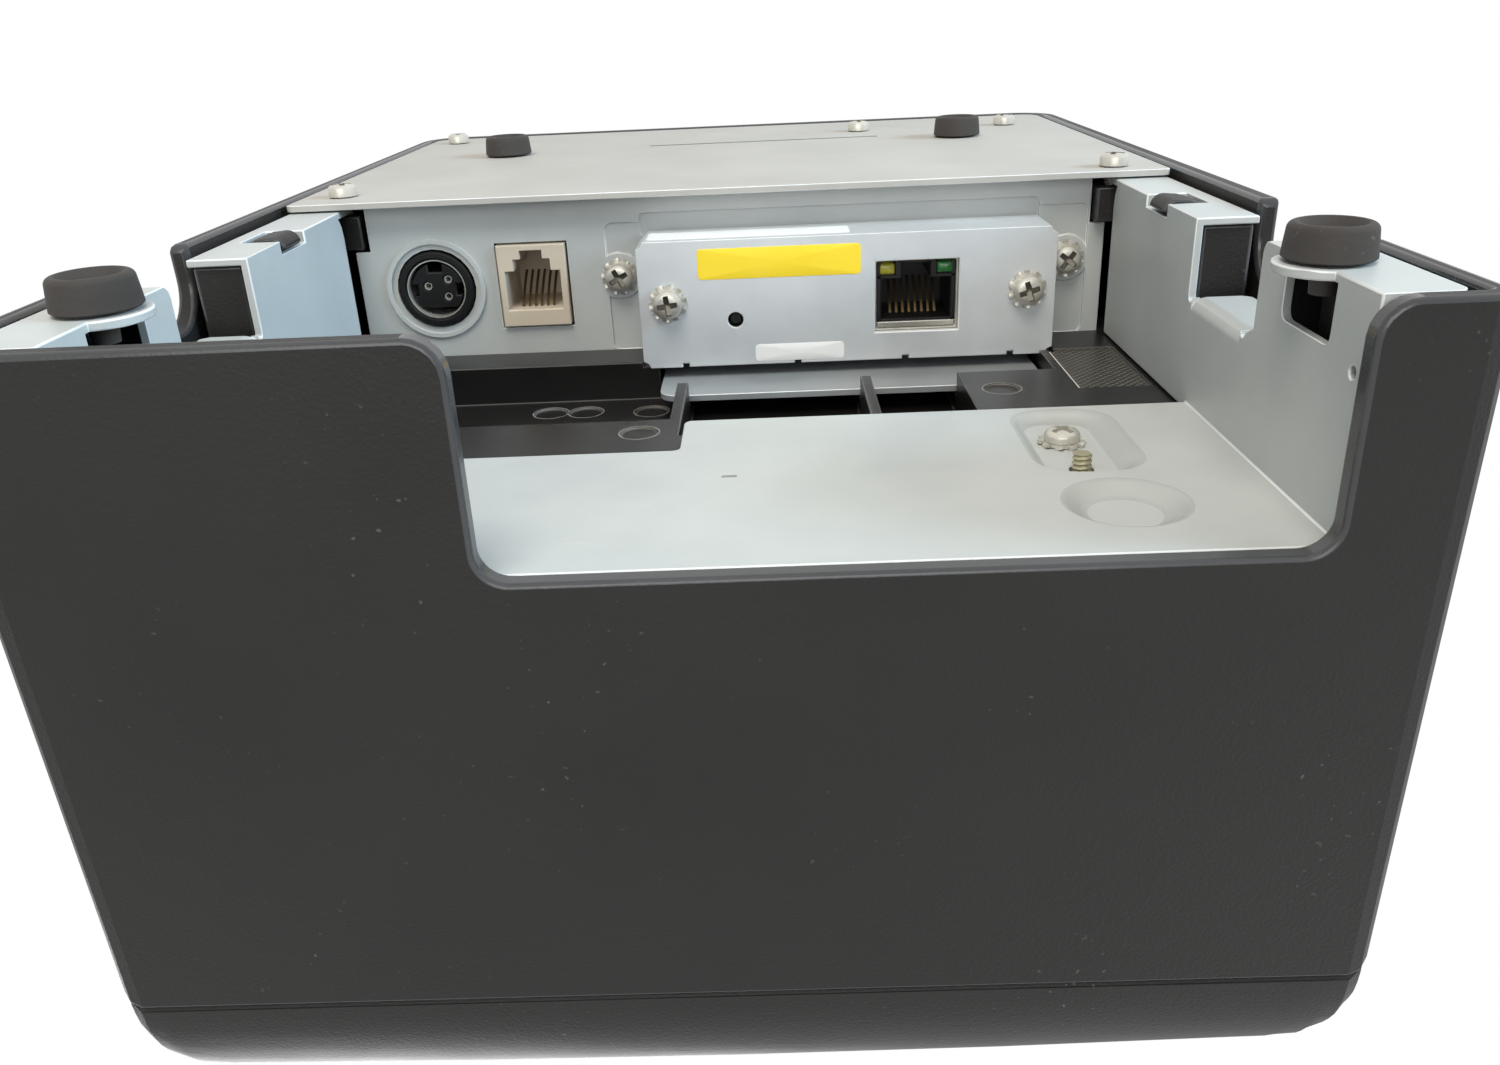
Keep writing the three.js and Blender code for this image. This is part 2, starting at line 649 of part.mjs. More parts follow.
function frameWall(side, end, roofTop) {
  const start = panelY + 3;
  const exitStart = rear - exitFront;
  const exitEnd = exitStart + exitLength;
  const footY = rear - rearFootInset;
  const outerX = cavityHalf + sheet;
  const flangeEnd = cavityHalf + sheet + flangeWidth;
  const profile = outline([
    [start, roofTop],
    ...arc(start + 4, flangeUnder + 4, 4, 180, 270, 4),
    [exitStart, flangeUnder],
    ...arc(exitStart + reliefRadius, exitTop, reliefRadius, 180, 0, 4),
    [exitStart + 2 * reliefRadius, exitTop + flapBend],
    [exitEnd - 2 - 2 * reliefRadius, exitTop + flapBend],
    ...arc(exitEnd - 2 - reliefRadius, exitTop, reliefRadius, 180, 0, 4),
    [exitEnd, exitTop - 1],
    ...arc(exitEnd + 1.6, padUnder + 1.6, 1.6, 180, 270, 3),
    [end, padUnder],
    [end, roofTop],
  ]);
  const body = join(
    prism("x", profile, side * cavityHalf, side * outerX),
    sideBox(side, cavityHalf, flangeEnd, panelY - 9, exitStart, flangeUnder, flangeOver),
    prism("z", rounded(-flangeEnd, flangeEnd, exitEnd + 1.6, end, 1.5), padUnder, padOver, 3)
      .intersect(sideBox(side, cavityHalf, half, exitEnd, end, 0, height)),
    rod("z", side * rearFootX, footY, 5.3, padUnder, padOver, 24),
  );
  const flap = prism("y", outline([
    ...arc(cavityHalf + flapBend, exitTop + flapBend, flapBend, 180, 270, 4),
    [flangeEnd - 0.6, exitTop],
    [flangeEnd - 0.6, exitTop + sheet],
    ...arc(cavityHalf + flapBend, exitTop + flapBend, flapBend - sheet, 270, 180, 3),
  ].map(([x, z]) => [side * x, z])), exitStart + 2 * reliefRadius, exitEnd - 2 - 2 * reliefRadius)
    .intersect(prism("z", rounded(-flangeEnd, flangeEnd, exitStart + 1, exitEnd - 3, 3.2), 0, height, 3));
  return join(cut(
    body,
    prism("x", rounded(footY - 5.8, footY + 5.8, padOver, padOver + 6.2, [0, 0, 1.2, 1.2]),
      side * (cavityHalf - 1), side * (outerX + 0.01), 3),
    rod("z", side * rearFootX, footY, stemRadius + gap, 0, padOver + 5, 14),
    sideBox(side, cavityHalf - 1, cavityHalf + 5.6, hookY - hookLength / 2 - 2.4,
      hookY + hookLength / 2 + 0.4,
      flangeUnder - 1, flangeOver + 0.8),
    plateScrews.slice(0, 2).map(([x, y]) => rod("z", x, y, screwRadius + gap, 0, 10, 12)),
    rod("x", end - 3.2, 12.1, 0.7, -half, half, 8),
  ), flap);
}
const reliefRadius = 0.7;
const flapBend = 1.8;

// Upright panel that carries the sockets.
function connectorPanel() {
  const x = cavityHalf - gap;
  const sheetFace = prism("y", outline([
    [-x, flangeUnder],
    [x, flangeUnder],
    [x, panelTop],
    [panelStepRight, panelTop],
    [panelStepRight, panelStepTop],
    ...arc(panelStepLeft + 0.9, panelStepTop - 0.9, 0.9, 90, 180, 3),
    [panelStepLeft, panelTop],
    [-x, panelTop],
  ]), panelY - sheet, panelY);
  const field = cut(
    prism("y", rounded(bracketLeft - 5.9, bracketRight + 7.2, bracketBottom - 1.4, bracketTop - 0.4, 1.2),
      panelY - 0.4, panelY + 1, 2),
    panelScrews.map(([sx]) => rod("y", sx, panelScrewZ, washerRadius + 0.7, panelY - 1, panelY + 2, 16)),
  );
  const foot = box(-x + 2, x - 2, panelY - 10, panelY - sheet / 2, flangeUnder, flangeOver);
  const rim = cut(rod("y", powerX, powerZ, powerRadius + 1.9, panelY - 0.5, panelY + 0.5, 28),
    rod("y", powerX, powerZ, powerRadius + 1.2, panelY - 1, panelY + 1, 28));
  const bay = join(
    box(bracketLeft + 9.9, bracketRight - 9.6, panelY - 3, panelY + 1, bracketBottom + 1.4,
      bracketTop - 0.9),
    box(bracketLeft + 2.1, bracketRight - 1.8, panelY - 3, panelY + 1, interfaceUnder - 0.7,
      bracketTop - 0.9),
  );
  return cut(
    join(sheetFace, foot, rim),
    rod("y", powerX, powerZ, powerRadius + gap, panelY - 3, panelY + 1, 24),
    box(drawerX - drawerWidth / 2 - gap, drawerX + drawerWidth / 2 + gap, panelY - 3, panelY + 1,
      drawerZ - drawerHeight / 2 - gap, drawerZ + drawerHeight / 2 + gap),
    bay,
    field,
    box(bracketLeft + 2.6, bracketRight - 2.3, panelY - 3, panelY + 1, guideUnder - gap, panelStepTop + 1),
    panelScrews.map(([sx]) => rod("y", sx, panelScrewZ, screwRadius + gap, panelY - 3, panelY + 3, 12)),
    bracketScrews.map(([sx]) => rod("y", sx, bracketScrewZ, screwRadius + gap, panelY - 3, panelY + 3, 12)),
    prism("y", rounded(bracketLeft - 0.2, bracketRight - 0.7, bracketBottom - 2.8, bracketBottom + 1, 0.8),
      panelY - 0.7, panelY + 1, 2),
    sides.map(([side]) => sideBox(side, cavityHalf - 2.7, cavityHalf, panelY - 12, panelY + 1, 0,
      bossHeight + gap)),
  );
}
const panelTop = ceilingHeight + 3.4;
const panelStepTop = panelTop + 1.7;
const panelStepLeft = bracketLeft - 6.2;
const panelStepRight = bracketRight + 6.4;
const interfaceUnder = 26.9;
const panelScrewZ = 17.7;
const panelScrews = [[-17.9, "left"], [54.5, "right"]];
const bracketScrews = [[-9.4, "left"], [46.2, "right"]];

// Folded tray that closes the interface slot.
function interfaceBracket() {
  const face = rounded(bracketLeft, bracketRight, bracketBottom, bracketTop, 1.2);
  const hollow = rounded(bracketLeft + 0.8, bracketRight - 0.8, bracketBottom + 0.8, bracketTop - 0.8, 0.5);
  const tray = cut(prism("y", face, panelY + gap, bracketY, 2),
    prism("y", hollow, panelY - 1, bracketY - 0.8, 2));
  const corners = [[bracketLeft, bracketBottom], [bracketRight, bracketBottom], [bracketLeft, bracketTop],
    [bracketRight, bracketTop]].map(([x, z]) => rod("y", x, z, 1.1, panelY, bracketY + 1, 8));
  const nicks = [6.2, 24, 41, 57.5].map((x) =>
    box(bracketLeft + x, bracketLeft + x + 1, bracketY - 2, bracketY + 1, bracketTop - 0.7,
      bracketTop + 1));
  const window = box(lanX - lanWidth / 2 + 0.6, lanX + lanWidth / 2 - 0.6, bracketY - 2, bracketY + 1,
    lanZ - lanHeight / 2 + 0.6, lanZ + lanHeight / 2 - 0.6);
  return cut(
    tray,
    corners,
    nicks,
    window,
    rod("y", resetX, resetZ, 1.25, bracketY - 2, bracketY + 1, 14),
    bracketScrews.map(([x]) => rod("y", x, bracketScrewZ, screwRadius + gap, bracketY - 2, bracketY + 1,
      12)),
  );
}

function interfaceBoard() {
  const back = panelY - 53;
  const board = box(bracketLeft + 2.9, bracketRight - 2.6, back, bracketY - 3, interfaceUnder,
    interfaceUnder + 1.6);
  const chips = [[4, -20, 12, 12], [24, -24, 9, 9], [36, -12, 7, 10]].map(([x, y, w, d]) =>
    box(x - w / 2, x + w / 2, panelY + y - d / 2, panelY + y + d / 2, interfaceUnder - 1.4,
      interfaceUnder + 0.2));
  const resetSwitch = box(resetX - 3, resetX + 3, panelY - 2.4, panelY + 3.6, resetZ - 2,
    interfaceUnder + 0.2);
  const plug = box(lanX - 32, lanX - 2, back + 0.6, back + 6, interfaceUnder - 5, interfaceUnder + 0.2);
  return join(board, chips, resetSwitch, plug);
}

function resetButton() {
  return rod("y", resetX, resetZ, 0.9, panelY + 3.6 + gap + 0.6, bracketY - 1.2, 12);
}

function lanJack() {
  const y1 = bracketY - 0.8 - gap;
  const y0 = y1 - 16;
  const x = lanWidth / 2;
  const z0 = lanZ - lanHeight / 2;
  const body = box(lanX - x, lanX + x, y0, y1, z0, interfaceUnder - gap);
  const cavity = join(
    box(lanX - 5.7, lanX + 5.7, y1 - 12, y1 + 1, z0 + 3.4, z0 + 10.1),
    box(lanX - 3.2, lanX + 1.8, y1 - 12, y1 + 1, z0 + 1, z0 + 3.5),
  );
  return cut(body, cavity);
}

function drawerJack() {
  const y1 = panelY + 0.8;
  const y0 = y1 - 17;
  const x = drawerWidth / 2;
  const z0 = drawerZ - drawerHeight / 2;
  const body = join(
    box(drawerX - x, drawerX + x, y0, y1, z0, z0 + drawerHeight),
    box(drawerX - x, drawerX + x, y0, panelY - sheet - gap, boardUnder + boardThickness + gap,
      z0 + drawerHeight),
  );
  return cut(
    body,
    box(drawerX - 4.5, drawerX + 4.5, y1 - 12, y1 + 1, z0 + 4.2, z0 + 10.5),
    box(drawerX - 3, drawerX + 3, y1 - 12, y1 + 1, z0 + 2.3, z0 + 4.3),
    box(drawerX - 1.8, drawerX + 1.8, y1 - 12, y1 + 1, z0 + 0.9, z0 + 2.4),
  );
}
const boardThickness = 1.6;

// Round socket with three pin holes in a keyed insert.
function powerSocket() {
  const y1 = panelY + 0.6;
  const body = join(
    box(powerX - 7.2, powerX + 7.2, panelY - 14, panelY - sheet - gap,
      boardUnder + boardThickness + gap, powerZ + 7),
    rod("y", powerX, powerZ, powerRadius, panelY - 2, y1, 28),
  );
  const well = rod("y", powerX, powerZ, powerRadius - 1.2, y1 - 9, y1 + 1, 24);
  const insert = cut(
    rod("y", powerX, powerZ, powerRadius - 1.9, y1 - 9.5, y1 - 0.8, 24),
    box(powerX - 1.1, powerX + 1.1, y1 - 9, y1 + 1, powerZ - 7, powerZ - 2.7),
    box(powerX - 7, powerX - 3.2, y1 - 9, y1 + 1, powerZ - 0.7, powerZ + 1.1),
    box(powerX + 3.2, powerX + 7, y1 - 9, y1 + 1, powerZ - 0.7, powerZ + 1.1),
    box(powerX - 6, powerX + 6, y1 - 9, y1 + 1, powerZ + 3.1, powerZ + 7),
    [[-1.5, -0.4], [1.9, -1.4], [1.6, 1.4]].map(([x, z]) =>
      rod("y", powerX + x, powerZ + z, 0.75, y1 - 7, y1 + 1, 10)),
  );
  return join(cut(body, well), insert);
}

function mainBoard() {
  const x = cavityHalf - 3.8;
  const y0 = front + 11.5;
  const top = boardUnder + boardThickness;
  const board = box(-x, x, y0, panelY - 2.9, boardUnder, top);
  const hole = rod("z", plateScrews[4][0], plateScrews[4][1], bossRadius + 1, 0, 40, 16);
  const notches = [plateScrews[2], plateScrews[3]].map(([sx, sy]) =>
    sideBox(Math.sign(sx), Math.abs(sx) - 4.6, half, sy - 4.6, sy + 4.6, 0, 20));
  const cans = [[-42, -46], [-30, -46], [-42, -60]].map(([cx, cy]) =>
    rod("z", cx, panelY + cy, 5, top - 0.2, top + 13, 16));
  const chips = [[0, -30, 20, 20, 1.6], [22, -62, 14, 14, 1.4],
    [-20, -26, 9, 12, 2]].map(([cx, cy, w, d, h]) =>
    box(cx - w / 2, cx + w / 2, panelY + cy - d / 2, panelY + cy + d / 2, top - 0.2, top + h));
  const headers = [[-18, 30], [8, 22], [40, 12]].map(([cx, w]) =>
    box(cx - w / 2, cx + w / 2, y0 + 1.5, y0 + 7, top - 0.2, top + 7));
  return cut(join(board, cans, chips, headers), hole, notches);
}
const bossRadius = 4;

// Sheet that the interface card slides on.
function cardGuide() {
  const y1 = bracketY + 9.2;
  const z = guideUnder;
  return join(
    prism("z", rounded(bracketLeft + 2.9, bracketRight - 2.6, panelY - 48, y1, [1, 1, 3, 3]), z, z + 1, 3),
    box(bracketLeft + 6, bracketRight - 6, panelY - 48, panelY - 47, z - 3, z + 0.5),
  );
}
const guideUnder = ceilingHeight + 3.7;

// Black moulding that floors the roll bay and carries the mechanism.
function chassis() {
  const x = half - wall - 1.6;
  const y0 = front + wall + frontLean + 0.6;
  const end = rear - frameRearClear - 1;
  const bodyShape = rounded(-x, x, y0, end, [7, 7, 2, 2]);
  const ledge = 2.2;
  const pocket = (px0, px1, py0, py1) => box(px0, px1, py0, py1, chassisUnder - 1, deep);
  const ribNear = ceilingStepX - 0.8;
  const ribFar = ceilingStepX - 2.5;
  const middleRib = 19.6;
  const padLeft = 34.1;
  const pocketFront = panelY + 9;
  const recessClear = 2.2;
  const body = cut(
    prism("z", bodyShape, chassisUnder, chassisOver, 3),
    pocket(-cavityHalf + ledge, ribFar, pocketFront, ceilingFront - 5),
    pocket(ribNear, middleRib, pocketFront, ceilingFront + 2),
    pocket(middleRib + 1.6, padLeft, pocketFront, ceilingFront + 2),
    pocket(-x + ledge, x - ledge, y0 + ledge, panelY - 9),
    pocket(-cavityHalf + 2, cavityHalf - 2, ceilingFront + ceilingStep + 3, end - ledge),
    box(groundX - 8, groundX + 11.5, groundY - 11, groundY + 16, chassisUnder - 1,
      chassisUnder + recessClear),
    box(bracketLeft + 2.3, bracketRight - 2, panelY - 49, bracketY + 10.5, chassisUnder - 1,
      guideUnder + 1 + gap),
    box(bracketLeft - gap, bracketRight + gap, panelY - 1, bracketY + gap, chassisUnder - 1,
      bracketTop + gap),
    box(-cavityHalf, cavityHalf, panelY - sheet - gap, panelY + gap, chassisUnder - 1, panelTop + gap),
    box(panelStepLeft - gap, panelStepRight + gap, panelY - sheet - gap, panelY + gap, chassisUnder - 1,
      panelStepTop + gap),
    rod("z", groundX, groundY, screwRadius + gap, chassisUnder - 1, chassisUnder + 6.4, 12),
    pinMarks.map(([x, y, radius, under]) => rod("z", x, panelY + y, radius, under - 1, under + 0.35, 16)),
    box(padLeft + 15.8, padLeft + 26, panelY + 10.5, panelY + 31.4, chassisUnder - 1, chassisUnder + 0.3),
  );
  const posts = panelScrews.map(([px]) => cut(
    box(px - 3.2, px + 3.2, panelY - 8, panelY - sheet - gap, panelScrewZ - 4, chassisUnder + 1),
    rod("y", px, panelScrewZ, screwRadius + gap, panelY - 7, panelY, 12),
  ));
  const [bx, by] = plateScrews[4];
  const boss = cut(
    rod("z", bx, by, bossRadius, plateUnder + sheet + gap, deep + 1, 16),
    rod("z", bx, by, screwRadius + gap, 0, bossHeight, 12),
  );
  const ribs = [-44, -14.8, 14.8, 44].map((rx) =>
    box(rx - 0.8, rx + 0.8, y0 + 1, panelY - 50, deep - 3, deep + 1));
  return join(body, posts, boss, ribs);
}
const deep = chassisOver - 2.3;
const pinMarks = [
  [-28.9, 14.5, 2.65, deep],
  [-23.3, 14.7, 2.65, deep],
  [-12.8, 15.4, 2.65, deep],
  [-11.7, 43.7, 2.55, chassisUnder],
  [39.2, 30.3, 2.6, chassisUnder],
];

// ---------------------------------------------------------------- screws, washers and feet

// Pan head with a cross recess on a plain shank, drawn about the Z axis with the head below.
function screw(shankLength, washer) {
  const profile = [
    [0, -screwHeadHeight],
    [screwHead * 0.7, -screwHeadHeight * 0.85],
    [screwHead, 0],
    [screwRadius, 0],
    [screwRadius, shankLength],
    [0, shankLength],
  ];
  const slot = (a, b) => box(-a, a, -b, b, -screwHeadHeight - 1, -screwHeadHeight * 0.5);
  const body = cut(turned(profile, 0, 0, 12), slot(1.3, 0.35), slot(0.35, 1.3));
  return washer ? join(body, toothedWasher()) : body;
}

function toothedWasher() {
  const teeth = 8;
  const points = [];
  for (let i = 0; i < teeth; i += 1) {
    [[0, 0.86], [0.5, 1]].forEach(([share, reach]) => {
      const angle = ((i + share) / teeth) * 2 * Math.PI;
      points.push([washerRadius * reach * Math.cos(angle), washerRadius * reach * Math.sin(angle)]);
    });
  }
  return prism("z", outline(points), -0.3, 0.35);
}

const facing = {
  down: (body, x, y, z) => body.translate([x, y, z]),
  rear: (body, x, y, z) => body.rotate([90, 0, 0]).translate([x, y, z]),
};

function foot(x, y, top) {
  return turned([
    [0, 1.2],
    [footTread * 0.6, 0.8],
    [footTread * 0.85, 0],
    [footTread, 0],
    [footTread + 0.4, 0.3],
    [footTread + 0.5, 0.8],
    [footRadius, top],
    [stemRadius, top],
    [stemRadius - 0.3, top + 3.6],
    [0, top + 3.6],
  ], x, y, 18);
}

// ---------------------------------------------------------------- roll bay

function rollBucket() {
  const outerR = bayRadius + bayWall;
  const mouth = bayZ + 12;
  const frontTop = [platenY + 9, platenZ - 15];
  const trough = (radius, floorLift) => outline([
    [bayY + radius, mouth + floorLift],
    ...arc(bayY, bayZ, radius, 0, -180, 22),
    [bayY - radius, bayZ + 8],
    [frontTop[0] + (outerR - radius), frontTop[1] + floorLift],
    [frontTop[0] + (outerR - radius) + 6, frontTop[1] + 6 + floorLift],
  ]);
  const side = bayHalf + bayWall;
  const feet = sides.map(([s]) => box(s * 30 - 4, s * 30 + 4, bayY - 14, bayY + 14, chassisOver + gap,
    chassisOver + 4));
  const open = prism("x", trough(bayRadius, 30), -bayHalf, bayHalf);
  const lugs = [nearEndZ - 6, nearEndZ + 4].map((z) =>
    box(-side - 7, -side + 0.5, bayY + 8, bayY + 16, z, z + 2));
  const body = join(prism("x", trough(outerR, 0), -side, side), feet, lugs);
  return cut(
    body,
    open,
    box(-side - 1, -bayHalf + 1, bayY - 8, bayY + 7, nearEndZ - 3, nearEndZ + 3),
    rod("z", -side - 4, bayY + 12, 1.2 + gap, nearEndZ - 10, nearEndZ + 10, 12),
  );
}
const nearEndZ = bayZ - 21;

// Feeler that the paper roll pushes aside until the roll is nearly used up.
function nearEndLever() {
  const side = bayHalf + bayWall;
  const arm = prism("z", outline([
    [-side - 6.2, bayY + 14.2],
    [-side - 6.2, bayY + 4],
    [-side - 3, bayY - 7],
    [-bayHalf + 1.6, bayY - 4.5],
    [-bayHalf + 1.6, bayY - 1.5],
    [-side - 1.6, bayY + 6],
    [-side - 1.6, bayY + 14.2],
  ]), nearEndZ - 2, nearEndZ + 2);
  return join(arm, rod("z", -side - 4, bayY + 12, 1.2, nearEndZ - 5.8, nearEndZ + 5.8, 12));
}

// ---------------------------------------------------------------- print mechanism

const headPivotY = platenY - 12;
const headPivotZ = platenZ - 9;
const latchY = platenY - 22;
const latchZ = platenZ - 8;
const latchRadius = 2;
const frameTop = platenZ + 11;
const frameFront = front + wall + frontLean + 4;
const crossY = latchY - latchRadius - 1.6;

function mechanismFrame() {
  const floor = chassisOver + gap;
  const cradle = bushRadius + 0.4;
  const sidePlate = outline([
    [frameFront, floor],
    [platenY + 12, floor],
    [platenY + 12, platenZ - 22],
    [platenY + 8, platenZ - 8],
    ...arc(platenY, platenZ, cradle, -15, -180, 8),
    [platenY - cradle, frameTop],
    [frameFront, frameTop],
    [frameFront, platenZ - 30],
    [frameFront + 10, platenZ - 44],
    [frameFront + 10, floor + 22],
    [frameFront, floor + 12],
  ]);
  const plates = sides.map(([side]) => prism("x", sidePlate, side * frameHalf, side * (frameHalf + sheet)));
  const x = frameHalf + sheet / 2;
  const base = cut(
    box(-x, x, frameFront, platenY + 12, floor, floor + sheet),
    prism("z", rounded(-32, 32, frameFront + 12, platenY - 2, 4), floor - 1, floor + 2, 3),
  );
  const cross = box(-x, x, crossY - sheet, crossY, platenZ - 14, frameTop - 1);
  const stud = rod("x", idlerY, idlerZ, 1.5, -frameHalf - sheet / 2, -gearFar - 0.5, 12);
  return cut(
    join(plates, base, cross, stud),
    rod("x", headPivotY, headPivotZ, 1.5 + gap, -width, width, 14),
    rod("x", latchY, latchZ, latchRadius + gap, -width, width, 14),
    rod("x", motorY, motorZ, 4, -frameHalf - 2, -frameHalf + 2, 16),
  );
}

function headSpring() {
  const t = 0.5;
  const tip = headBack - gap;
  const root = crossY + gap;
  const strip = outline([
    [root, platenZ + 8],
    [root, platenZ - 1],
    [tip - t, platenZ - 3],
    [tip - t, platenZ - 5],
    [tip, platenZ - 5],
    [tip, platenZ - 2.6],
    [root + t, platenZ - 0.6],
    [root + t, platenZ + 8],
  ]);
  return prism("x", strip, -14, 14);
}
const headBack = platenY - platenRadius - 0.4 - 2.3 - 0.3 - 7.2;

function heatSink() {
  const face = headBack + 7.2;
  const x = paperWidth / 2 + 4;
  const slots = 9;
  const slotPitch = (2 * x - 5) / slots;
  const fins = Array.from({ length: slots }, (_, i) =>
    box(-x + 4.5 + i * slotPitch, -x + 8.5 + i * slotPitch, headBack - 1, headBack + 3.4, platenZ + 0.5,
      platenZ + 12));
  const block = cut(box(-x, x, headBack, face, platenZ - 11, platenZ + 9), fins);
  return join(block, sides.map(([side]) =>
    rod("x", headPivotY, headPivotZ, 1.5, side * (x - 1), side * (frameHalf + sheet - 0.2), 14)));
}

function thermalHead() {
  const face = headBack + 7.2 + gap;
  const x = paperWidth / 2 + 3;
  return prism("x", outline([
    [face, platenZ - 8],
    [face + 1.3, platenZ - 8],
    [face + 1.6, platenZ - 4],
    [face + 2.3, platenZ - 0.8],
    [face + 2.3, platenZ + 0.8],
    [face + 1.6, platenZ + 4],
    [face + 1.3, platenZ + 7],
    [face, platenZ + 7],
  ]), -x, x);
}

// Toothed wheel about the X axis: trapezoid teeth, thinned by the backlash.
function gearOutline(teeth, phase) {
  const r = pitch(teeth);
  const tip = r + module_;
  const root = r - 1.25 * module_;
  const step = (2 * Math.PI) / teeth;
  const halfPitch = (Math.PI * module_) / 4 - backlash / 2;
  const slope = Math.tan((20 * Math.PI) / 180);
  const atTip = (halfPitch - slope * module_) / tip;
  const atRoot = (halfPitch + slope * 1.25 * module_) / root;
  return Array.from({ length: teeth }, (_, i) => {
    const middle = phase + i * step;
    return [[-atRoot, root], [-atTip, tip], [atTip, tip], [atRoot, root]].map(([angle, radius]) =>
      [radius * Math.cos(middle + angle), radius * Math.sin(middle + angle)]);
  }).flat();
}

const spurGear = (y, z, teeth, phase, x0, x1) =>
  prism("x", outline(gearOutline(teeth, phase).map(([u, v]) => [y + u, z + v])), x0, x1);

// The first tooth of each wheel sits in a space of the wheel that drives it.
const towardsPlaten = Math.atan2(platenZ - idlerZ, platenY - idlerY);
const idlerPhase = towardsPlaten;
const platenPhase = towardsPlaten + Math.PI + Math.PI / platenTeeth;
const pinionPhase = (() => {
  const step = (2 * Math.PI) / idlerTeeth;
  const offset = (((pinionAngle - idlerPhase) % step) + step) % step;
  const share = offset / step;
  return pinionAngle + Math.PI + Math.PI / pinionTeeth + share * ((2 * Math.PI) / pinionTeeth);
})();

function platenGear() {
  return cut(spurGear(platenY, platenZ, platenTeeth, platenPhase, -gearFar, -gearNear),
    rod("x", platenY, platenZ, shaftRadius + 0.15, -width, width, 16));
}

function idlerGear() {
  const web = [0, 1, 2, 3, 4].map((i) => {
    const angle = (i * 2 * Math.PI) / 5 + 0.3;
    return rod("x", idlerY + 6.6 * Math.cos(angle), idlerZ + 6.6 * Math.sin(angle), 2.3, -width, width, 8);
  });
  return cut(spurGear(idlerY, idlerZ, idlerTeeth, idlerPhase, -gearFar, -gearNear),
    rod("x", idlerY, idlerZ, 1.5 + gap, -width, width, 14), web);
}

function motorPinion() {
  return join(spurGear(motorY, motorZ, pinionTeeth, pinionPhase, -gearFar, -gearNear),
    rod("x", motorY, motorZ, 1.5, -gearNear - 1, -frameHalf, 12));
}

function feedMotor() {
  const x1 = -frameHalf + 0.9;
  return join(
    rod("x", motorY, motorZ, motorRadius, x1, x1 + motorLength, 28),
    prism("x", rounded(motorY - 10, motorY + 10, motorZ - 9, motorZ + 9, 3), x1 - 0.6, x1 + 1, 3),
    box(x1 + 8, x1 + 20, motorY - 9, motorY + 9, motorZ - motorRadius - 2, motorZ - 5),
  );
}

function platenRoller() {
  return cut(rod("x", platenY, platenZ, platenRadius, -paperWidth / 2 - 1.5, paperWidth / 2 + 1.5, 32),
    rod("x", platenY, platenZ, shaftRadius + 0.15, -width, width, 16));
}

const platenShaft = () => rod("x", platenY, platenZ, shaftRadius, -gearFar - 1, frameHalf + 5, 16);

const platenBush = (side) => cut(
  join(
    rod("x", platenY, platenZ, bushRadius, side * (frameHalf - 1), side * (frameHalf + sheet + 1.7), 24),
    rod("x", platenY, platenZ, bushRadius + 1, side * (frameHalf - 1), side * (frameHalf - gap), 24),
  ),
  rod("x", platenY, platenZ, shaftRadius + 0.15, -width, width, 16),
);

// Two hooks on one shaft that hold the platen bushes, with a finger under the opening lever.
function latchBar() {
  const hookFace = bushRadius + 0.35;
  const n = [-Math.sin(liftAngle), Math.cos(liftAngle)];
  const u = [Math.cos(liftAngle), Math.sin(liftAngle)];
  const at = (out, up) => [platenY + n[0] * out + u[0] * up, platenZ + n[1] * out + u[1] * up];
  const hook = outline([
    ...arc(latchY, latchZ, 4.2, 130, 320, 8),
    at(hookFace + 3.2, -3),
    at(hookFace, 0.5),
    at(hookFace, 4.2),
    at(hookFace + 3, 6),
  ]);
  const near = frameHalf + sheet + gap;
  const hooks = sides.map(([side]) => prism("x", hook, side * near, side * (near + 1.2)));
  const finger = prism("x", outline([
    ...arc(latchY, latchZ, 3.4, -60, 60, 4),
    [latchY - 12.5, latchZ + leverSeat],
    [latchY - 12.5, latchZ - 0.5],
  ]), leverX - 2, leverX + 2);
  return join(rod("x", latchY, latchZ, latchRadius, -near - 1, leverX + 2, 14), hooks, finger);
}
const leverX = half - 16.5;
const leverSeat = 2.6;

// ---------------------------------------------------------------- paper cutter

const cutterUnder = frameTop + gap;
const bladeUnder = cutterUnder + sheet + gap;
const bladeTop = bladeUnder + 1;
const bladeEdge = platenY - 8.8;
const cutterGearX = 25;
const cutterGearY = platenY - 33.4;
const cutterGearTop = bladeTop + gap + 2;

function cutterFrame() {
  const x = frameHalf + sheet - 0.5;
  const tray = cut(
    box(-x, x, frameFront + 1, bladeEdge + 0.3, cutterUnder, cutterUnder + sheet),
    rod("z", cutterGearX, cutterGearY, 2, 0, height, 14),
    prism("z", rounded(-30, 6, frameFront + 6, bladeEdge - 12, 3), cutterUnder - 1, cutterUnder + 2, 3),
  );
  const rails = sides.map(([side]) => sideBox(side, bladeHalf + gap, x, frameFront + 5, bladeEdge + 0.3,
    cutterUnder + sheet / 2, bladeTop + 1.4));
  return join(tray, rails);
}
const bladeHalf = paperWidth / 2 + 3;

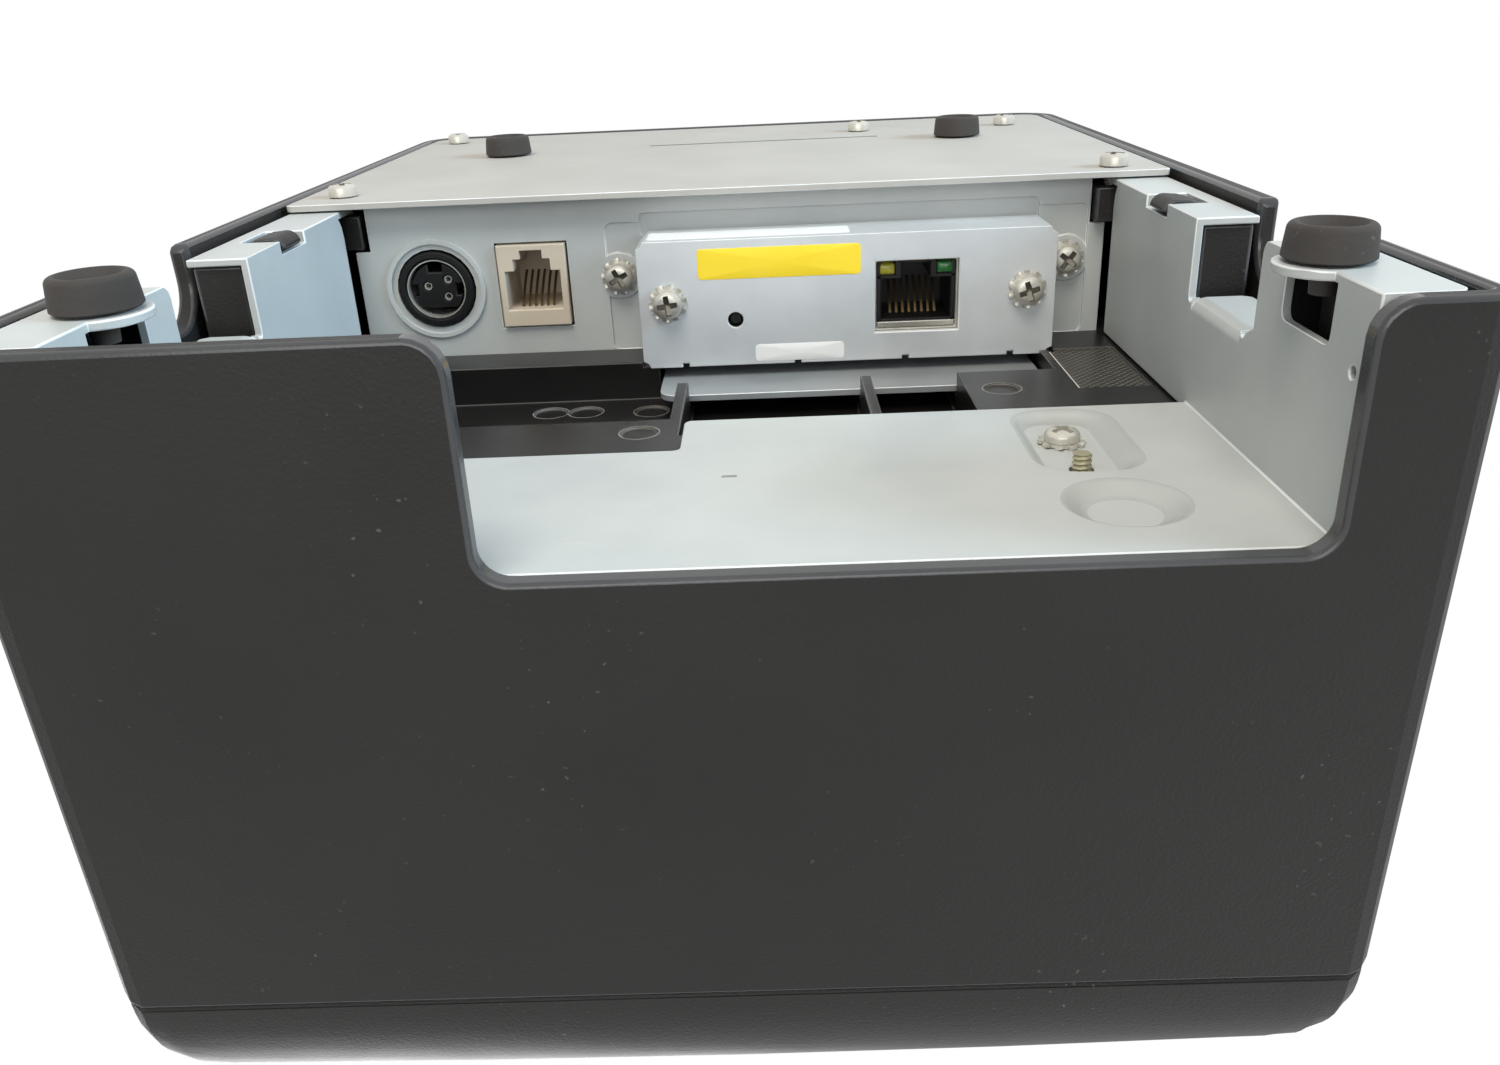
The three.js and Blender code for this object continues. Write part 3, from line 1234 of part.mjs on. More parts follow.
// Sliding blade with a shallow V edge and a rack on its back.
function movingBlade() {
  const back = bladeEdge - 20;
  const plate = outline([
    [-bladeHalf, bladeEdge],
    [-bladeHalf, back],
    [cutterGearX + pitch(cutterTeeth) - 3, back],
    [cutterGearX + pitch(cutterTeeth) - 3, back + 2],
    [cutterGearX + pitch(cutterTeeth) + 0.9, back - 14],
    [cutterGearX + pitch(cutterTeeth) + 5, back - 14],
    [cutterGearX + pitch(cutterTeeth) + 5, back],
    [bladeHalf, back],
    [bladeHalf, bladeEdge],
    [0, bladeEdge - 3.5],
  ]);
  const step = Math.PI * module_;
  const pitchX = cutterGearX + pitch(cutterTeeth);
  const halfTooth = step / 4 - backlash / 2;
  const slope = Math.tan((20 * Math.PI) / 180);
  const teeth = Array.from({ length: 7 }, (_, i) => {
    const y = cutterGearY + (i - 4.5) * step;
    const root = halfTooth + slope * 1.25 * module_;
    const tip = halfTooth - slope * module_;
    return [[pitchX + 1.25 * module_, y - root], [pitchX - module_, y - tip], [pitchX - module_, y + tip],
      [pitchX + 1.25 * module_, y + root]];
  }).flat();
  const rackEnd = teeth[teeth.length - 1][1];
  const rack = prism("z", outline([
    [pitchX + 4.6, teeth[0][1]],
    ...teeth,
    [pitchX + 4.6, rackEnd],
  ]), bladeTop - 0.4, cutterGearTop);
  return join(prism("z", plate, bladeUnder, bladeTop), rack);
}

function cutterGear() {
  const shape = gearOutline(cutterTeeth, 0).map(([u, v]) => [cutterGearX + u, cutterGearY + v]);
  return cut(prism("z", outline(shape), bladeTop + gap, cutterGearTop),
    rod("z", cutterGearX, cutterGearY, 1.3, 0, height, 12));
}

function cutterMotor() {
  return join(
    rod("z", cutterGearX, cutterGearY, 6.6, cutterUnder - gap - 22, cutterUnder - gap, 22),
    rod("z", cutterGearX, cutterGearY, 1, cutterUnder - 2, cutterGearTop, 10),
    rod("z", cutterGearX, cutterGearY, 3, cutterUnder - gap - 23.5, cutterUnder - gap - 20, 14),
  );
}

const fixedBlade = () => cut(
  box(-bladeHalf, bladeHalf, platenY - 4.5, platenY + 3.6, bladeTop + gap, bladeTop + gap + 1),
  sides.map(([side]) => rod("z", side * 34, platenY + 1.2, 1.4, 0, height, 10)),
);

// ---------------------------------------------------------------- lid and its liner

function rollCover() {
  const roofInner = height - wall;
  const shell = cut(lidOuter(), lidInside(wall));
  const slot = box(-exitHalf, exitHalf, lidFront - 1, lidFront + paperSlot, roofInner - 6, height + 5);
  const keep = join(aboveSeam(seamGap), hingeRound(hingeSweep - 0.15));
  const bosses = sides.map(([side]) =>
    rod("x", hingeY, hingeZ, 3.6, side * (upperHalf - 8.4), side * (upperHalf - 1.2), 18)
      .intersect(lidInside(wall / 2)));
  const apron = box(-exitHalf - 2, exitHalf + 2, lidFront + paperSlot, lidFront + paperSlot + 1.6,
    height - 8, height - 2.2);
  const rims = sides.map(([side]) =>
    sideBox(side, exitHalf, exitHalf + 2, lidFront + 0.6, lidFront + paperSlot + 1,
    height - 8, height - 2.4));
  return cut(
    join(cut(shell.intersect(keep), slot), bosses, apron, rims),
    rod("x", hingeY, hingeZ, pinRadius + gap, -(upperHalf - 1.8), upperHalf - 1.8, 14),
  );
}
const exitHalf = paperWidth / 2 + 2.5;
const paperSlot = 5;

// Black inner frame of the lid: arms for the platen, bar for the fixed blade, ribs over the roll.
function coverLiner() {
  const armNear = frameHalf - 3.7;
  const armFar = armNear + 2;
  const end = bayY + 14;
  const arm = outline([
    [platenY - 1, height],
    [platenY - 1.5, platenZ + 10],
    ...arc(platenY, platenZ, 5.2, 150, 330, 10),
    [platenY + 14, platenZ - 1],
    [platenY + 34, platenZ + 12],
    [end, height - 14],
    [end, height],
  ]);
  const arms = sides.map(([side]) => prism("x", arm, side * armNear, side * armFar));
  const skin = cut(
    box(-armFar, armFar, platenY + 4, end, platenZ, height + 5),
    lidInside(wall + gap + 2),
  );
  const bar = box(-armFar, armFar, platenY - 1, platenY + 5, bladeTop + 1 + 2 * gap, bladeTop + 5);
  const web = box(-armFar, armFar, platenY + 3, platenY + 5, bladeTop + 4, height);
  const ribs = [-28, -9.5, 9.5, 28].map((x) => prism("x", outline([
    [platenY + 4, platenZ + 14],
    [platenY + 8, platenZ + 10.6],
    [platenY + 26, platenZ + 15],
    [end, height - 12],
    [end, height],
    [platenY + 4, height],
  ]), x - 1, x + 1));
  return cut(
    join(arms, skin, bar, web, ribs).intersect(lidInside(wall + gap)),
    rod("x", platenY, platenZ, shaftRadius + gap, -width, width, 16),
  );
}

const hingePin = (side) =>
  rod("x", hingeY, hingeZ, pinRadius, side * (upperHalf - 13), side * (upperHalf - 2.2), 14);

// ---------------------------------------------------------------- front cap

const splitX = half - capSplit;
const buttonX = splitX + 9;
const buttonZ = capFloor + 9;
const lampX = splitX + 20;
const lampZ = capFloor + 9.5;
const leverBox = [leverX - 5, leverX + 8, latchY - 18, latchY - 3];

function capShell(x0, x1) {
  const inner = capSkin(capWall, [[capRear + 20, height - capTopDrop], [capRear + 20, capFloor - 12],
    [front + 12, capFloor - 12]]);
  return cut(capOuter(), inner).intersect(box(x0, x1, front - 1, capRear + 1, capFloor, height));
}

// Cover over the cutter. It slides forward off two runners.
function cutterCover() {
  const tongues = [front + 22.5, front + 36.5].map((y0) => [y0, y0 + 6]).flatMap(([y0, y1]) => [
    box(-upperHalf + wall + gap, -upperHalf + wall + 1.6, y0, y1, capFloor - 2.4, capFloor + 3),
    box(-upperHalf + 1, -upperHalf + wall + 1.6, y0, y1, capFloor + 1, capFloor + 3),
  ]);
  const grip = Array.from({ length: 5 }, (_, i) =>
    box(-24 + i * 3.2, -22.4 + i * 3.2, capRear - 14, capRear - 6, height - capTopDrop - 1.1, height));
  return cut(join(capShell(-half, splitX - seamGap / 2), tongues), grip);
}

function controlPanel() {
  const y0 = front - 1;
  const y1 = front + 6;
  const [lx0, lx1, ly0, ly1] = leverBox;
  return cut(
    capShell(splitX + seamGap / 2, half),
    rod("y", buttonX, buttonZ, 5.4, y0, y1, 24),
    prism("y", rounded(lampX - 2.4, lampX + 2.4, lampZ - 7, lampZ + 7, 1), y0, y1, 3),
    prism("z", rounded(lx0, lx1, ly0, ly1, 2), capFloor + 20, height + 2, 3),
  );
}

function feedButton() {
  const seat = front + capWall + gap;
  return join(
    rod("y", buttonX, buttonZ, 5.1, front - 0.4, seat + 0.4, 24),
    rod("y", buttonX, buttonZ, 6.4, seat, seat + 1, 20),
  );
}

function indicatorLens() {
  const seat = front + capWall + gap;
  return join(
    prism("y", rounded(lampX - 2.1, lampX + 2.1, lampZ - 6.7, lampZ + 6.7, 0.9), front + 0.3,
      seat + 0.5, 3),
    box(lampX - 3.2, lampX + 3.2, seat, seat + 1, lampZ - 8, lampZ + 8),
  );
}

function openLever() {
  const [lx0, lx1, ly0, ly1] = leverBox;
  const pad = capOuter().intersect(
    prism("z", rounded(lx0 + gap, lx1 - gap, ly0 + gap, ly1 - gap, 1.7), height - capTopDrop - 7.2,
      height, 3),
  );
  const stem = box(leverX - 1.5, leverX + 1.5, latchY - 11.8, latchY - 10.2, latchZ + leverSeat + gap,
    height - capTopDrop - 6.8);
  return join(pad, stem);
}

// ---------------------------------------------------------------- power switch

const rockerTilt = 7;
const frontFace = (z) => front + frontLean * (1 - (z - skirtHeight) / (frontLeanTop - skirtHeight));
const switchFace = frontFace(switchZ + switchHeight / 2 + 1.4);

function powerSwitch() {
  const w = switchWidth / 2;
  const h = switchHeight / 2;
  const bezel = prism("y", rounded(switchX - w - 1.4, switchX + w + 1.4, switchZ - h - 1.4,
    switchZ + h + 1.4, 1.5),
    switchFace - 1, switchFace - gap, 3);
  const body = box(switchX - w + gap, switchX + w - gap, switchFace - 1, switchFace + 15,
    switchZ - h + gap, switchZ + h - gap);
  const well = box(switchX - w + 1.6, switchX + w - 1.6, switchFace - 3, switchFace + 7,
    switchZ - h + 1.6, switchZ + h - 1.6);
  return cut(join(bezel, body), well);
}

function powerRocker() {
  const w = switchWidth / 2 - 2.1;
  const h = switchHeight / 2 - 2;
  const paddle = prism("z", outline([
    [-w, -1.2],
    [0, 0.3],
    [w, -1.2],
    [w - 0.4, 2.2],
    [2, 4.6],
    [-2, 4.6],
    [-w + 0.4, 2.2],
  ]), -h, h);
  return paddle.rotate([0, 0, rockerTilt]).translate([switchX, switchFace + 0.75, switchZ]);
}

// ---------------------------------------------------------------- assembly

place("lower_case", lowerCase(), charcoal);
place("bottom_plate", bottomPlate(), paintedPlate);
place("cavity_frame", cavityFrame(), painted);
place("connector_panel", connectorPanel(), painted);
place("interface_bracket", interfaceBracket(), galvanised);
place("interface_board", interfaceBoard(), greenBoard);
place("reset_button", resetButton(), black);
place("lan_jack", lanJack(), steel);
place("drawer_jack", drawerJack(), ivory);
place("power_socket", powerSocket(), black);
place("main_board", mainBoard(), greenBoard);
place("card_guide", cardGuide(), galvanised);
place("chassis", chassis(), black);

plateScrews.forEach(([x, y], i) => {
  place(`plate_screw_${i + 1}`, facing.down(screw(bossHeight - plateUnder - 2, false), x, y,
    plateUnder - gap), zinc);
});
panelScrews.forEach(([x, name]) => {
  place(`panel_screw_${name}`, facing.rear(screw(7, true), x, panelY + 0.65, panelScrewZ), zinc);
});
bracketScrews.forEach(([x, name]) => {
  place(`bracket_screw_${name}`, facing.rear(screw(bracketStand + 1, true), x, bracketY + 0.65,
    bracketScrewZ), zinc);
});
place("ground_screw", facing.down(screw(6, true), groundX, groundY, ceilingHeight + 1.5 - 0.65), zinc);
place("ground_stud", rod("z", groundX + 0.2, groundY + 9.2, studRadius, ceilingHeight - 2.6,
  chassisUnder + 1.9, 12), zinc);

footPlaces.forEach(([row, x, y]) => {
  sides.forEach(([side, name]) => place(`foot_${row}_${name}`, foot(side * x, y, plateUnder - gap),
    rubber));
});

place("roll_bucket", rollBucket(), black);
place("near_end_lever", nearEndLever(), nylon);
place("mechanism_frame", mechanismFrame(), steel);
place("head_spring", headSpring(), steel);
place("heat_sink", heatSink(), aluminium);
place("thermal_head", thermalHead(), nylon);
place("platen_shaft", platenShaft(), steel);
place("platen_roller", platenRoller(), rollerRubber);
place("platen_gear", platenGear(), nylon);
sides.forEach(([side, name]) => place(`platen_bush_${name}`, platenBush(side), nylon));
place("idler_gear", idlerGear(), nylon);
place("motor_pinion", motorPinion(), zinc);
place("feed_motor", feedMotor(), black);
place("latch_bar", latchBar(), steel);
place("cutter_frame", cutterFrame(), steel);
place("moving_blade", movingBlade(), steel);
place("cutter_gear", cutterGear(), nylon);
place("cutter_motor", cutterMotor(), steel);
place("fixed_blade", fixedBlade(), steel);
place("roll_cover", rollCover(), charcoal);
place("cover_liner", coverLiner(), black);
sides.forEach(([side, name]) => place(`hinge_pin_${name}`, hingePin(side), steel));
place("cutter_cover", cutterCover(), charcoal);
place("control_panel", controlPanel(), charcoal);
place("feed_button", feedButton(), black);
place("indicator_lens", indicatorLens(), smoke);
place("open_lever", openLever(), charcoal);
place("power_switch", powerSwitch(), black);
place("power_rocker", powerRocker(), black);

export default parts;
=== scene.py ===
import json

import bmesh
import bpy
import numpy as np
from mathutils import Matrix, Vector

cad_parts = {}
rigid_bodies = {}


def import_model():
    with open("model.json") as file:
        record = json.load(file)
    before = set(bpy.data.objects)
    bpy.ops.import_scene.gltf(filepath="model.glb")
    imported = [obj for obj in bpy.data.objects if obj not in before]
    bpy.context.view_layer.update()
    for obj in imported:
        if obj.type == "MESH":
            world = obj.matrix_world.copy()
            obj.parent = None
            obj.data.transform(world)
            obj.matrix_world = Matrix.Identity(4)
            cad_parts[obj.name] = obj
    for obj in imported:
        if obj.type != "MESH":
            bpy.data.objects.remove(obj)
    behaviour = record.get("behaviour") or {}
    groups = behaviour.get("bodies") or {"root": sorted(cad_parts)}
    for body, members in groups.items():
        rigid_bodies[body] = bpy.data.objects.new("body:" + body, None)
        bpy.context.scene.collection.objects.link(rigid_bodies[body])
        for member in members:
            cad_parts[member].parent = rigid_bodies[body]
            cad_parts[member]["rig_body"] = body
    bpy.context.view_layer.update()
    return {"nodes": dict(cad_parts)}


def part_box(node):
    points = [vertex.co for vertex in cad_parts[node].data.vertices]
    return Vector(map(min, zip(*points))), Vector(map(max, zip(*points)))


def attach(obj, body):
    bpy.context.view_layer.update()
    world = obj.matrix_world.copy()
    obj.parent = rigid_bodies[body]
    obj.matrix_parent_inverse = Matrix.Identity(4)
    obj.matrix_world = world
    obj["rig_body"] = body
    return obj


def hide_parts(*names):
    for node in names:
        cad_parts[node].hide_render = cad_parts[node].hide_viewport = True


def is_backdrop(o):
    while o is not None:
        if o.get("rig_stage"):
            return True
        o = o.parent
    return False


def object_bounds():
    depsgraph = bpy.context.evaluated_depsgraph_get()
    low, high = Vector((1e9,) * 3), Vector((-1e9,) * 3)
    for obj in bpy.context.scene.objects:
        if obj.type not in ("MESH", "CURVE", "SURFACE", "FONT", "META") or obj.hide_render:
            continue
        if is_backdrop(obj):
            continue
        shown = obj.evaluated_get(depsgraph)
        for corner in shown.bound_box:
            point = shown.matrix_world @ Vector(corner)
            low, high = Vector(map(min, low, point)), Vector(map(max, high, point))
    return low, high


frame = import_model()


# Camera: behind the printer and a little below its feet, rolled upside down, close enough that the
# near corners spread. The printer stands upright, and the camera is the thing that is turned over.
MM = 0.001
scene = bpy.context.scene


def placed(name, data):
    thing = bpy.data.objects.new(name, data)
    scene.collection.objects.link(thing)
    return thing


def aimed(thing, across, up, back, place):
    pose = np.eye(4)
    pose[:3] = np.stack([across, up, back, place], axis=1)
    thing.matrix_world = Matrix(pose.tolist())


def eye_axes(lift, swing, roll):
    """Right, down and forward of an eye that looks along -Y, lifted, swung and rolled by these radians."""
    forward = np.array([np.sin(swing) * np.cos(lift), -np.cos(swing) * np.cos(lift), np.sin(lift)])
    level = np.array([np.cos(swing), np.sin(swing), 0.0])
    below = np.cross(forward, level)
    right = np.cos(roll) * level - np.sin(roll) * below
    down = np.sin(roll) * level + np.cos(roll) * below
    return right, down, forward


focal_pixels, picture_pixels = 1187.91, 1500
eye = placed("eye", bpy.data.cameras.new("eye"))
eye.data.sensor_width = 36
eye.data.lens = focal_pixels / picture_pixels * eye.data.sensor_width
eye.data.clip_start = 0.005
right, down, forward = eye_axes(lift=0.417457, swing=-0.025087, roll=-0.046325)
aimed(eye, right, -down, -forward, np.array([6.294, 199.770, -21.831]) * MM)
scene.camera = eye
scene.view_settings.view_transform = "Standard"


# Studio: pale floor under the feet that fades into the white surroundings, and large soft lamps above
# and below. The floor shows from above only, and lets the lamps under it light the open base.
def nodes_of(owner):
    owner.use_nodes = True
    owner.node_tree.nodes.clear()
    return owner.node_tree


def painted(name):
    material = bpy.data.materials.new(name)
    return material, nodes_of(material)


def wire(tree, *pairs):
    for source, target in pairs:
        tree.links.new(source, target)


def sums(tree, kind, first, second, clamp=False):
    made = tree.nodes.new("ShaderNodeMath")
    made.operation = kind
    made.use_clamp = clamp
    for socket, item in zip(made.inputs, (first, second)):
        if isinstance(item, (int, float)):
            socket.default_value = item
        else:
            wire(tree, (item, socket))
    return made.outputs[0]


def spread(tree, value, low, high, to_low=0.0, to_high=1.0):
    made = tree.nodes.new("ShaderNodeMapRange")
    for label, number in (("From Min", low), ("From Max", high), ("To Min", to_low), ("To Max", to_high)):
        made.inputs[label].default_value = number
    wire(tree, (value, made.inputs["Value"]))
    return made.outputs["Result"]


def inside_object(tree):
    return tree.nodes.new("ShaderNodeTexCoord").outputs["Object"]


def blended(tree, amount, first, second, end_kind):
    blend = tree.nodes.new("ShaderNodeMixShader")
    end = tree.nodes.new(end_kind)
    wire(tree, (amount, blend.inputs[0]), (first.outputs[0], blend.inputs[1]),
         (second.outputs[0], blend.inputs[2]), (blend.outputs[0], end.inputs[0]))


floor_paint, tree = painted("studio_floor")
paint = tree.nodes.new("ShaderNodeBsdfDiffuse")
paint.inputs["Color"].default_value = (0.86, 0.86, 0.85, 1)
clear = tree.nodes.new("ShaderNodeBsdfTransparent")
side = tree.nodes.new("ShaderNodeNewGeometry")
ray = tree.nodes.new("ShaderNodeLightPath")
distance = tree.nodes.new("ShaderNodeVectorMath")
distance.operation = "LENGTH"
wire(tree, (inside_object(tree), distance.inputs[0]))
whole_to, gone_at, reach = 0.25, 0.62, 0.7
fading = spread(tree, distance.outputs["Value"], whole_to, gone_at, 1.0, 0.0)
fading.node.interpolation_type = "SMOOTHSTEP"
seen = sums(tree, "SUBTRACT", ray.outputs["Is Camera Ray"], side.outputs["Backfacing"], True)
blended(tree, sums(tree, "MULTIPLY", seen, fading), clear, paint, "ShaderNodeOutputMaterial")
floor_mesh = bpy.data.meshes.new("studio_floor")
floor_mesh.from_pydata([(-reach, -reach, 0), (reach, -reach, 0), (reach, reach, 0), (-reach, reach, 0)],
                       [], [(0, 1, 2, 3)])
floor_mesh.materials.append(floor_paint)
floor = placed("studio_floor", floor_mesh)
floor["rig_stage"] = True

world = bpy.data.worlds.new("studio_air")
scene.world = world
tree = nodes_of(world)
air = tree.nodes.new("ShaderNodeBackground")
air.inputs["Color"].default_value = (0.84, 0.86, 0.88, 1)
air.inputs["Strength"].default_value = 0.42
white = tree.nodes.new("ShaderNodeBackground")
white.inputs["Color"].default_value = (1, 1, 1, 1)
ray = tree.nodes.new("ShaderNodeLightPath")
mirrored = sums(tree, "ADD", ray.outputs["Is Glossy Ray"], ray.outputs["Is Transmission Ray"], True)
shown = sums(tree, "ADD", ray.outputs["Is Camera Ray"], mirrored, True)
blended(tree, shown, air, white, "ShaderNodeOutputWorld")


def lamp(name, place, aim, size, watts, tint=(1, 1, 1)):
    light = bpy.data.lights.new(name, "AREA")
    light.shape = "RECTANGLE"
    light.size, light.size_y = size
    light.energy = watts
    light.color = tint
    nearly_up = [0.02, 0.01, 1.0]
    ahead = np.array(aim, float) - np.array(place, float)
    ahead /= np.linalg.norm(ahead)
    across = np.cross(ahead, nearly_up)
    across /= np.linalg.norm(across)
    holder = placed(name, light)
    aimed(holder, across, np.cross(across, ahead), -ahead, place)
    return holder


lamp("lamp_above", (-0.5, -0.5, 1.1), (0, 0, 0.08), (0.9, 0.9), 11)
lamp("lamp_rear_above", (0.7, 0.8, 0.9), (0, 0, 0.08), (0.7, 0.7), 0.8)
lamp("lamp_rear", (-0.10, 1.00, -0.30), (0, 0.05, 0.02), (0.8, 0.5), 3.0)
below = lamp("lamp_below", (-0.12, 0.46, -0.80), (0, 0.06, 0.03), (0.50, 0.50), 8.4, (1.0, 0.95, 0.85))
cool = lamp("lamp_cool", (0.80, 0.20, -0.34), (-0.06, 0.05, 0.02), (0.40, 0.30), 11.0, (0.58, 0.80, 1.0))
# A floor would hide these two from above, so they leave no gloss on the sides.
below.visible_glossy = cool.visible_glossy = False


# Lower case: one moulding of charcoal plastic with a fine spark texture, dull on the flats. Its bottom rim,
# the cable notch and the side exits have a soft rounded lip, the seam above a crisp edge. The lips and edges
# are smoother and glossier, and painted lighter than the flats: a painted highlight. It is the base that
# everything else is screwed to.
def group(name, inputs, outputs):
    made = bpy.data.node_groups.new(name, "ShaderNodeTree")
    for label, value in inputs:
        socket = made.interface.new_socket(label, in_out="INPUT", socket_type="NodeSocketFloat")
        socket.default_value = value
    for label in outputs:
        made.interface.new_socket(label, in_out="OUTPUT", socket_type="NodeSocketFloat")
    return made, made.nodes.new("NodeGroupInput"), made.nodes.new("NodeGroupOutput")


def noise(tree, vector, scale, detail, rough=0.55):
    made = tree.nodes.new("ShaderNodeTexNoise")
    made.inputs["Scale"].default_value = scale
    made.inputs["Detail"].default_value = detail
    made.inputs["Roughness"].default_value = rough
    wire(tree, (vector, made.inputs["Vector"]))
    return made.outputs["Fac"]


# Spark texture: pits of a third of a millimetre over a slow unevenness, and sparse pale dust.
spark, given, out = group("spark_texture", [("Pit Scale", 2600.0), ("Dust", 0.5)], ["Height", "Tone", "Dust"])
where = inside_object(spark)
pits = spark.nodes.new("ShaderNodeTexNoise")
pits.inputs["Detail"].default_value = 2.0
wire(spark, (where, pits.inputs["Vector"]), (given.outputs["Pit Scale"], pits.inputs["Scale"]))
slow = noise(spark, where, 38, 4)
specks = noise(spark, where, 1300, 1)
cloud = spread(spark, noise(spark, where, 55, 3), 0.5, 0.85)
dusty = sums(spark, "MULTIPLY", spread(spark, specks, 0.73, 0.78), given.outputs["Dust"])
wire(spark, (pits.outputs["Fac"], out.inputs["Height"]), (spread(spark, slow, 0.3, 0.7), out.inputs["Tone"]),
     (sums(spark, "MULTIPLY", dusty, cloud), out.inputs["Dust"]))


def use(tree, shared, **values):
    made = tree.nodes.new("ShaderNodeGroup")
    made.node_tree = shared
    for label, value in values.items():
        made.inputs[label.replace("_", " ")].default_value = value
    return made.outputs


def lit(value):
    """Linear value of a colour given in 0 to 255 as a screen shows it."""
    share = np.array(value, float) / 255
    return np.where(share <= 0.04045, share / 12.92, ((share + 0.055) / 1.055) ** 2.4).tolist()


def shades(tree, amount, first, second):
    made = tree.nodes.new("ShaderNodeMix")
    made.data_type = "RGBA"
    for socket, colour in ((made.inputs["A"], first), (made.inputs["B"], second)):
        if isinstance(colour, tuple):
            socket.default_value = (*lit(colour), 1)
        else:
            wire(tree, (colour, socket))
    wire(tree, (amount, made.inputs["Factor"]))
    return made.outputs["Result"]


def finish_with(tree, colour, roughness, height, depth, metallic=0.0, specular=0.5):
    skin = tree.nodes.new("ShaderNodeBsdfPrincipled")
    skin.inputs["Metallic"].default_value = metallic
    skin.inputs["Specular IOR Level"].default_value = specular
    bump = tree.nodes.new("ShaderNodeBump")
    bump.inputs["Strength"].default_value = 1.0
    bump.inputs["Distance"].default_value = depth
    end = tree.nodes.new("ShaderNodeOutputMaterial")
    wire(tree, (colour, skin.inputs["Base Color"]), (roughness, skin.inputs["Roughness"]),
         (height, bump.inputs["Height"]), (bump.outputs[0], skin.inputs["Normal"]),
         (skin.outputs[0], end.inputs[0]))
    return skin


def flecked(name, texture, fleck, tones, rough, swing, depth, metallic, specular, **values):
    """Material whose colour goes from the first to the second tone in clouds, with flecks of the third."""
    material, tree = painted(name)
    grain = use(tree, texture, **values)
    colour = shades(tree, grain[fleck], shades(tree, grain["Tone"], *tones[:2]), tones[2])
    roughness = spread(tree, grain["Tone"], 0, 1, rough - swing, rough + swing)
    finish_with(tree, colour, roughness, grain["Height"], depth, metallic, specular)
    return material


def moulding(name, dark, light, dust_tone, rough, depth, pit_scale=2600.0, dust=0.5, specular=0.5):
    return flecked(name, spark, "Dust", (dark, light, dust_tone), rough, 0.05, depth, 0.0, specular,
                   Pit_Scale=pit_scale, Dust=dust)


charcoal = moulding("charcoal_case", (28, 27, 26), (35, 34, 33), (150, 148, 144), 0.5, 0.00008, specular=0.3)


def read(items, name, width, kind=float):
    values = np.empty(len(items) * width, kind)
    items.foreach_get(name, values)
    return values.reshape(-1, width)


def knots(mesh):
    """Corners of every triangle that lies turned over against the face it belongs to."""
    mesh.calc_loop_triangles()
    corner = read(mesh.vertices, "co", 3)[read(mesh.loop_triangles, "vertices", 3, np.int32)]
    owner = read(mesh.loop_triangles, "polygon_index", 1, np.int32)[:, 0]
    area = np.cross(corner[:, 1] - corner[:, 0], corner[:, 2] - corner[:, 0]) / 2
    size = np.linalg.norm(area, axis=1)
    facing = (area * read(mesh.polygons, "normal", 3)[owner]).sum(axis=1)
    smallest, turned_over = 1e-8, 0.3
    return corner[(size > smallest) & (facing < turned_over * size)].reshape(-1, 3)


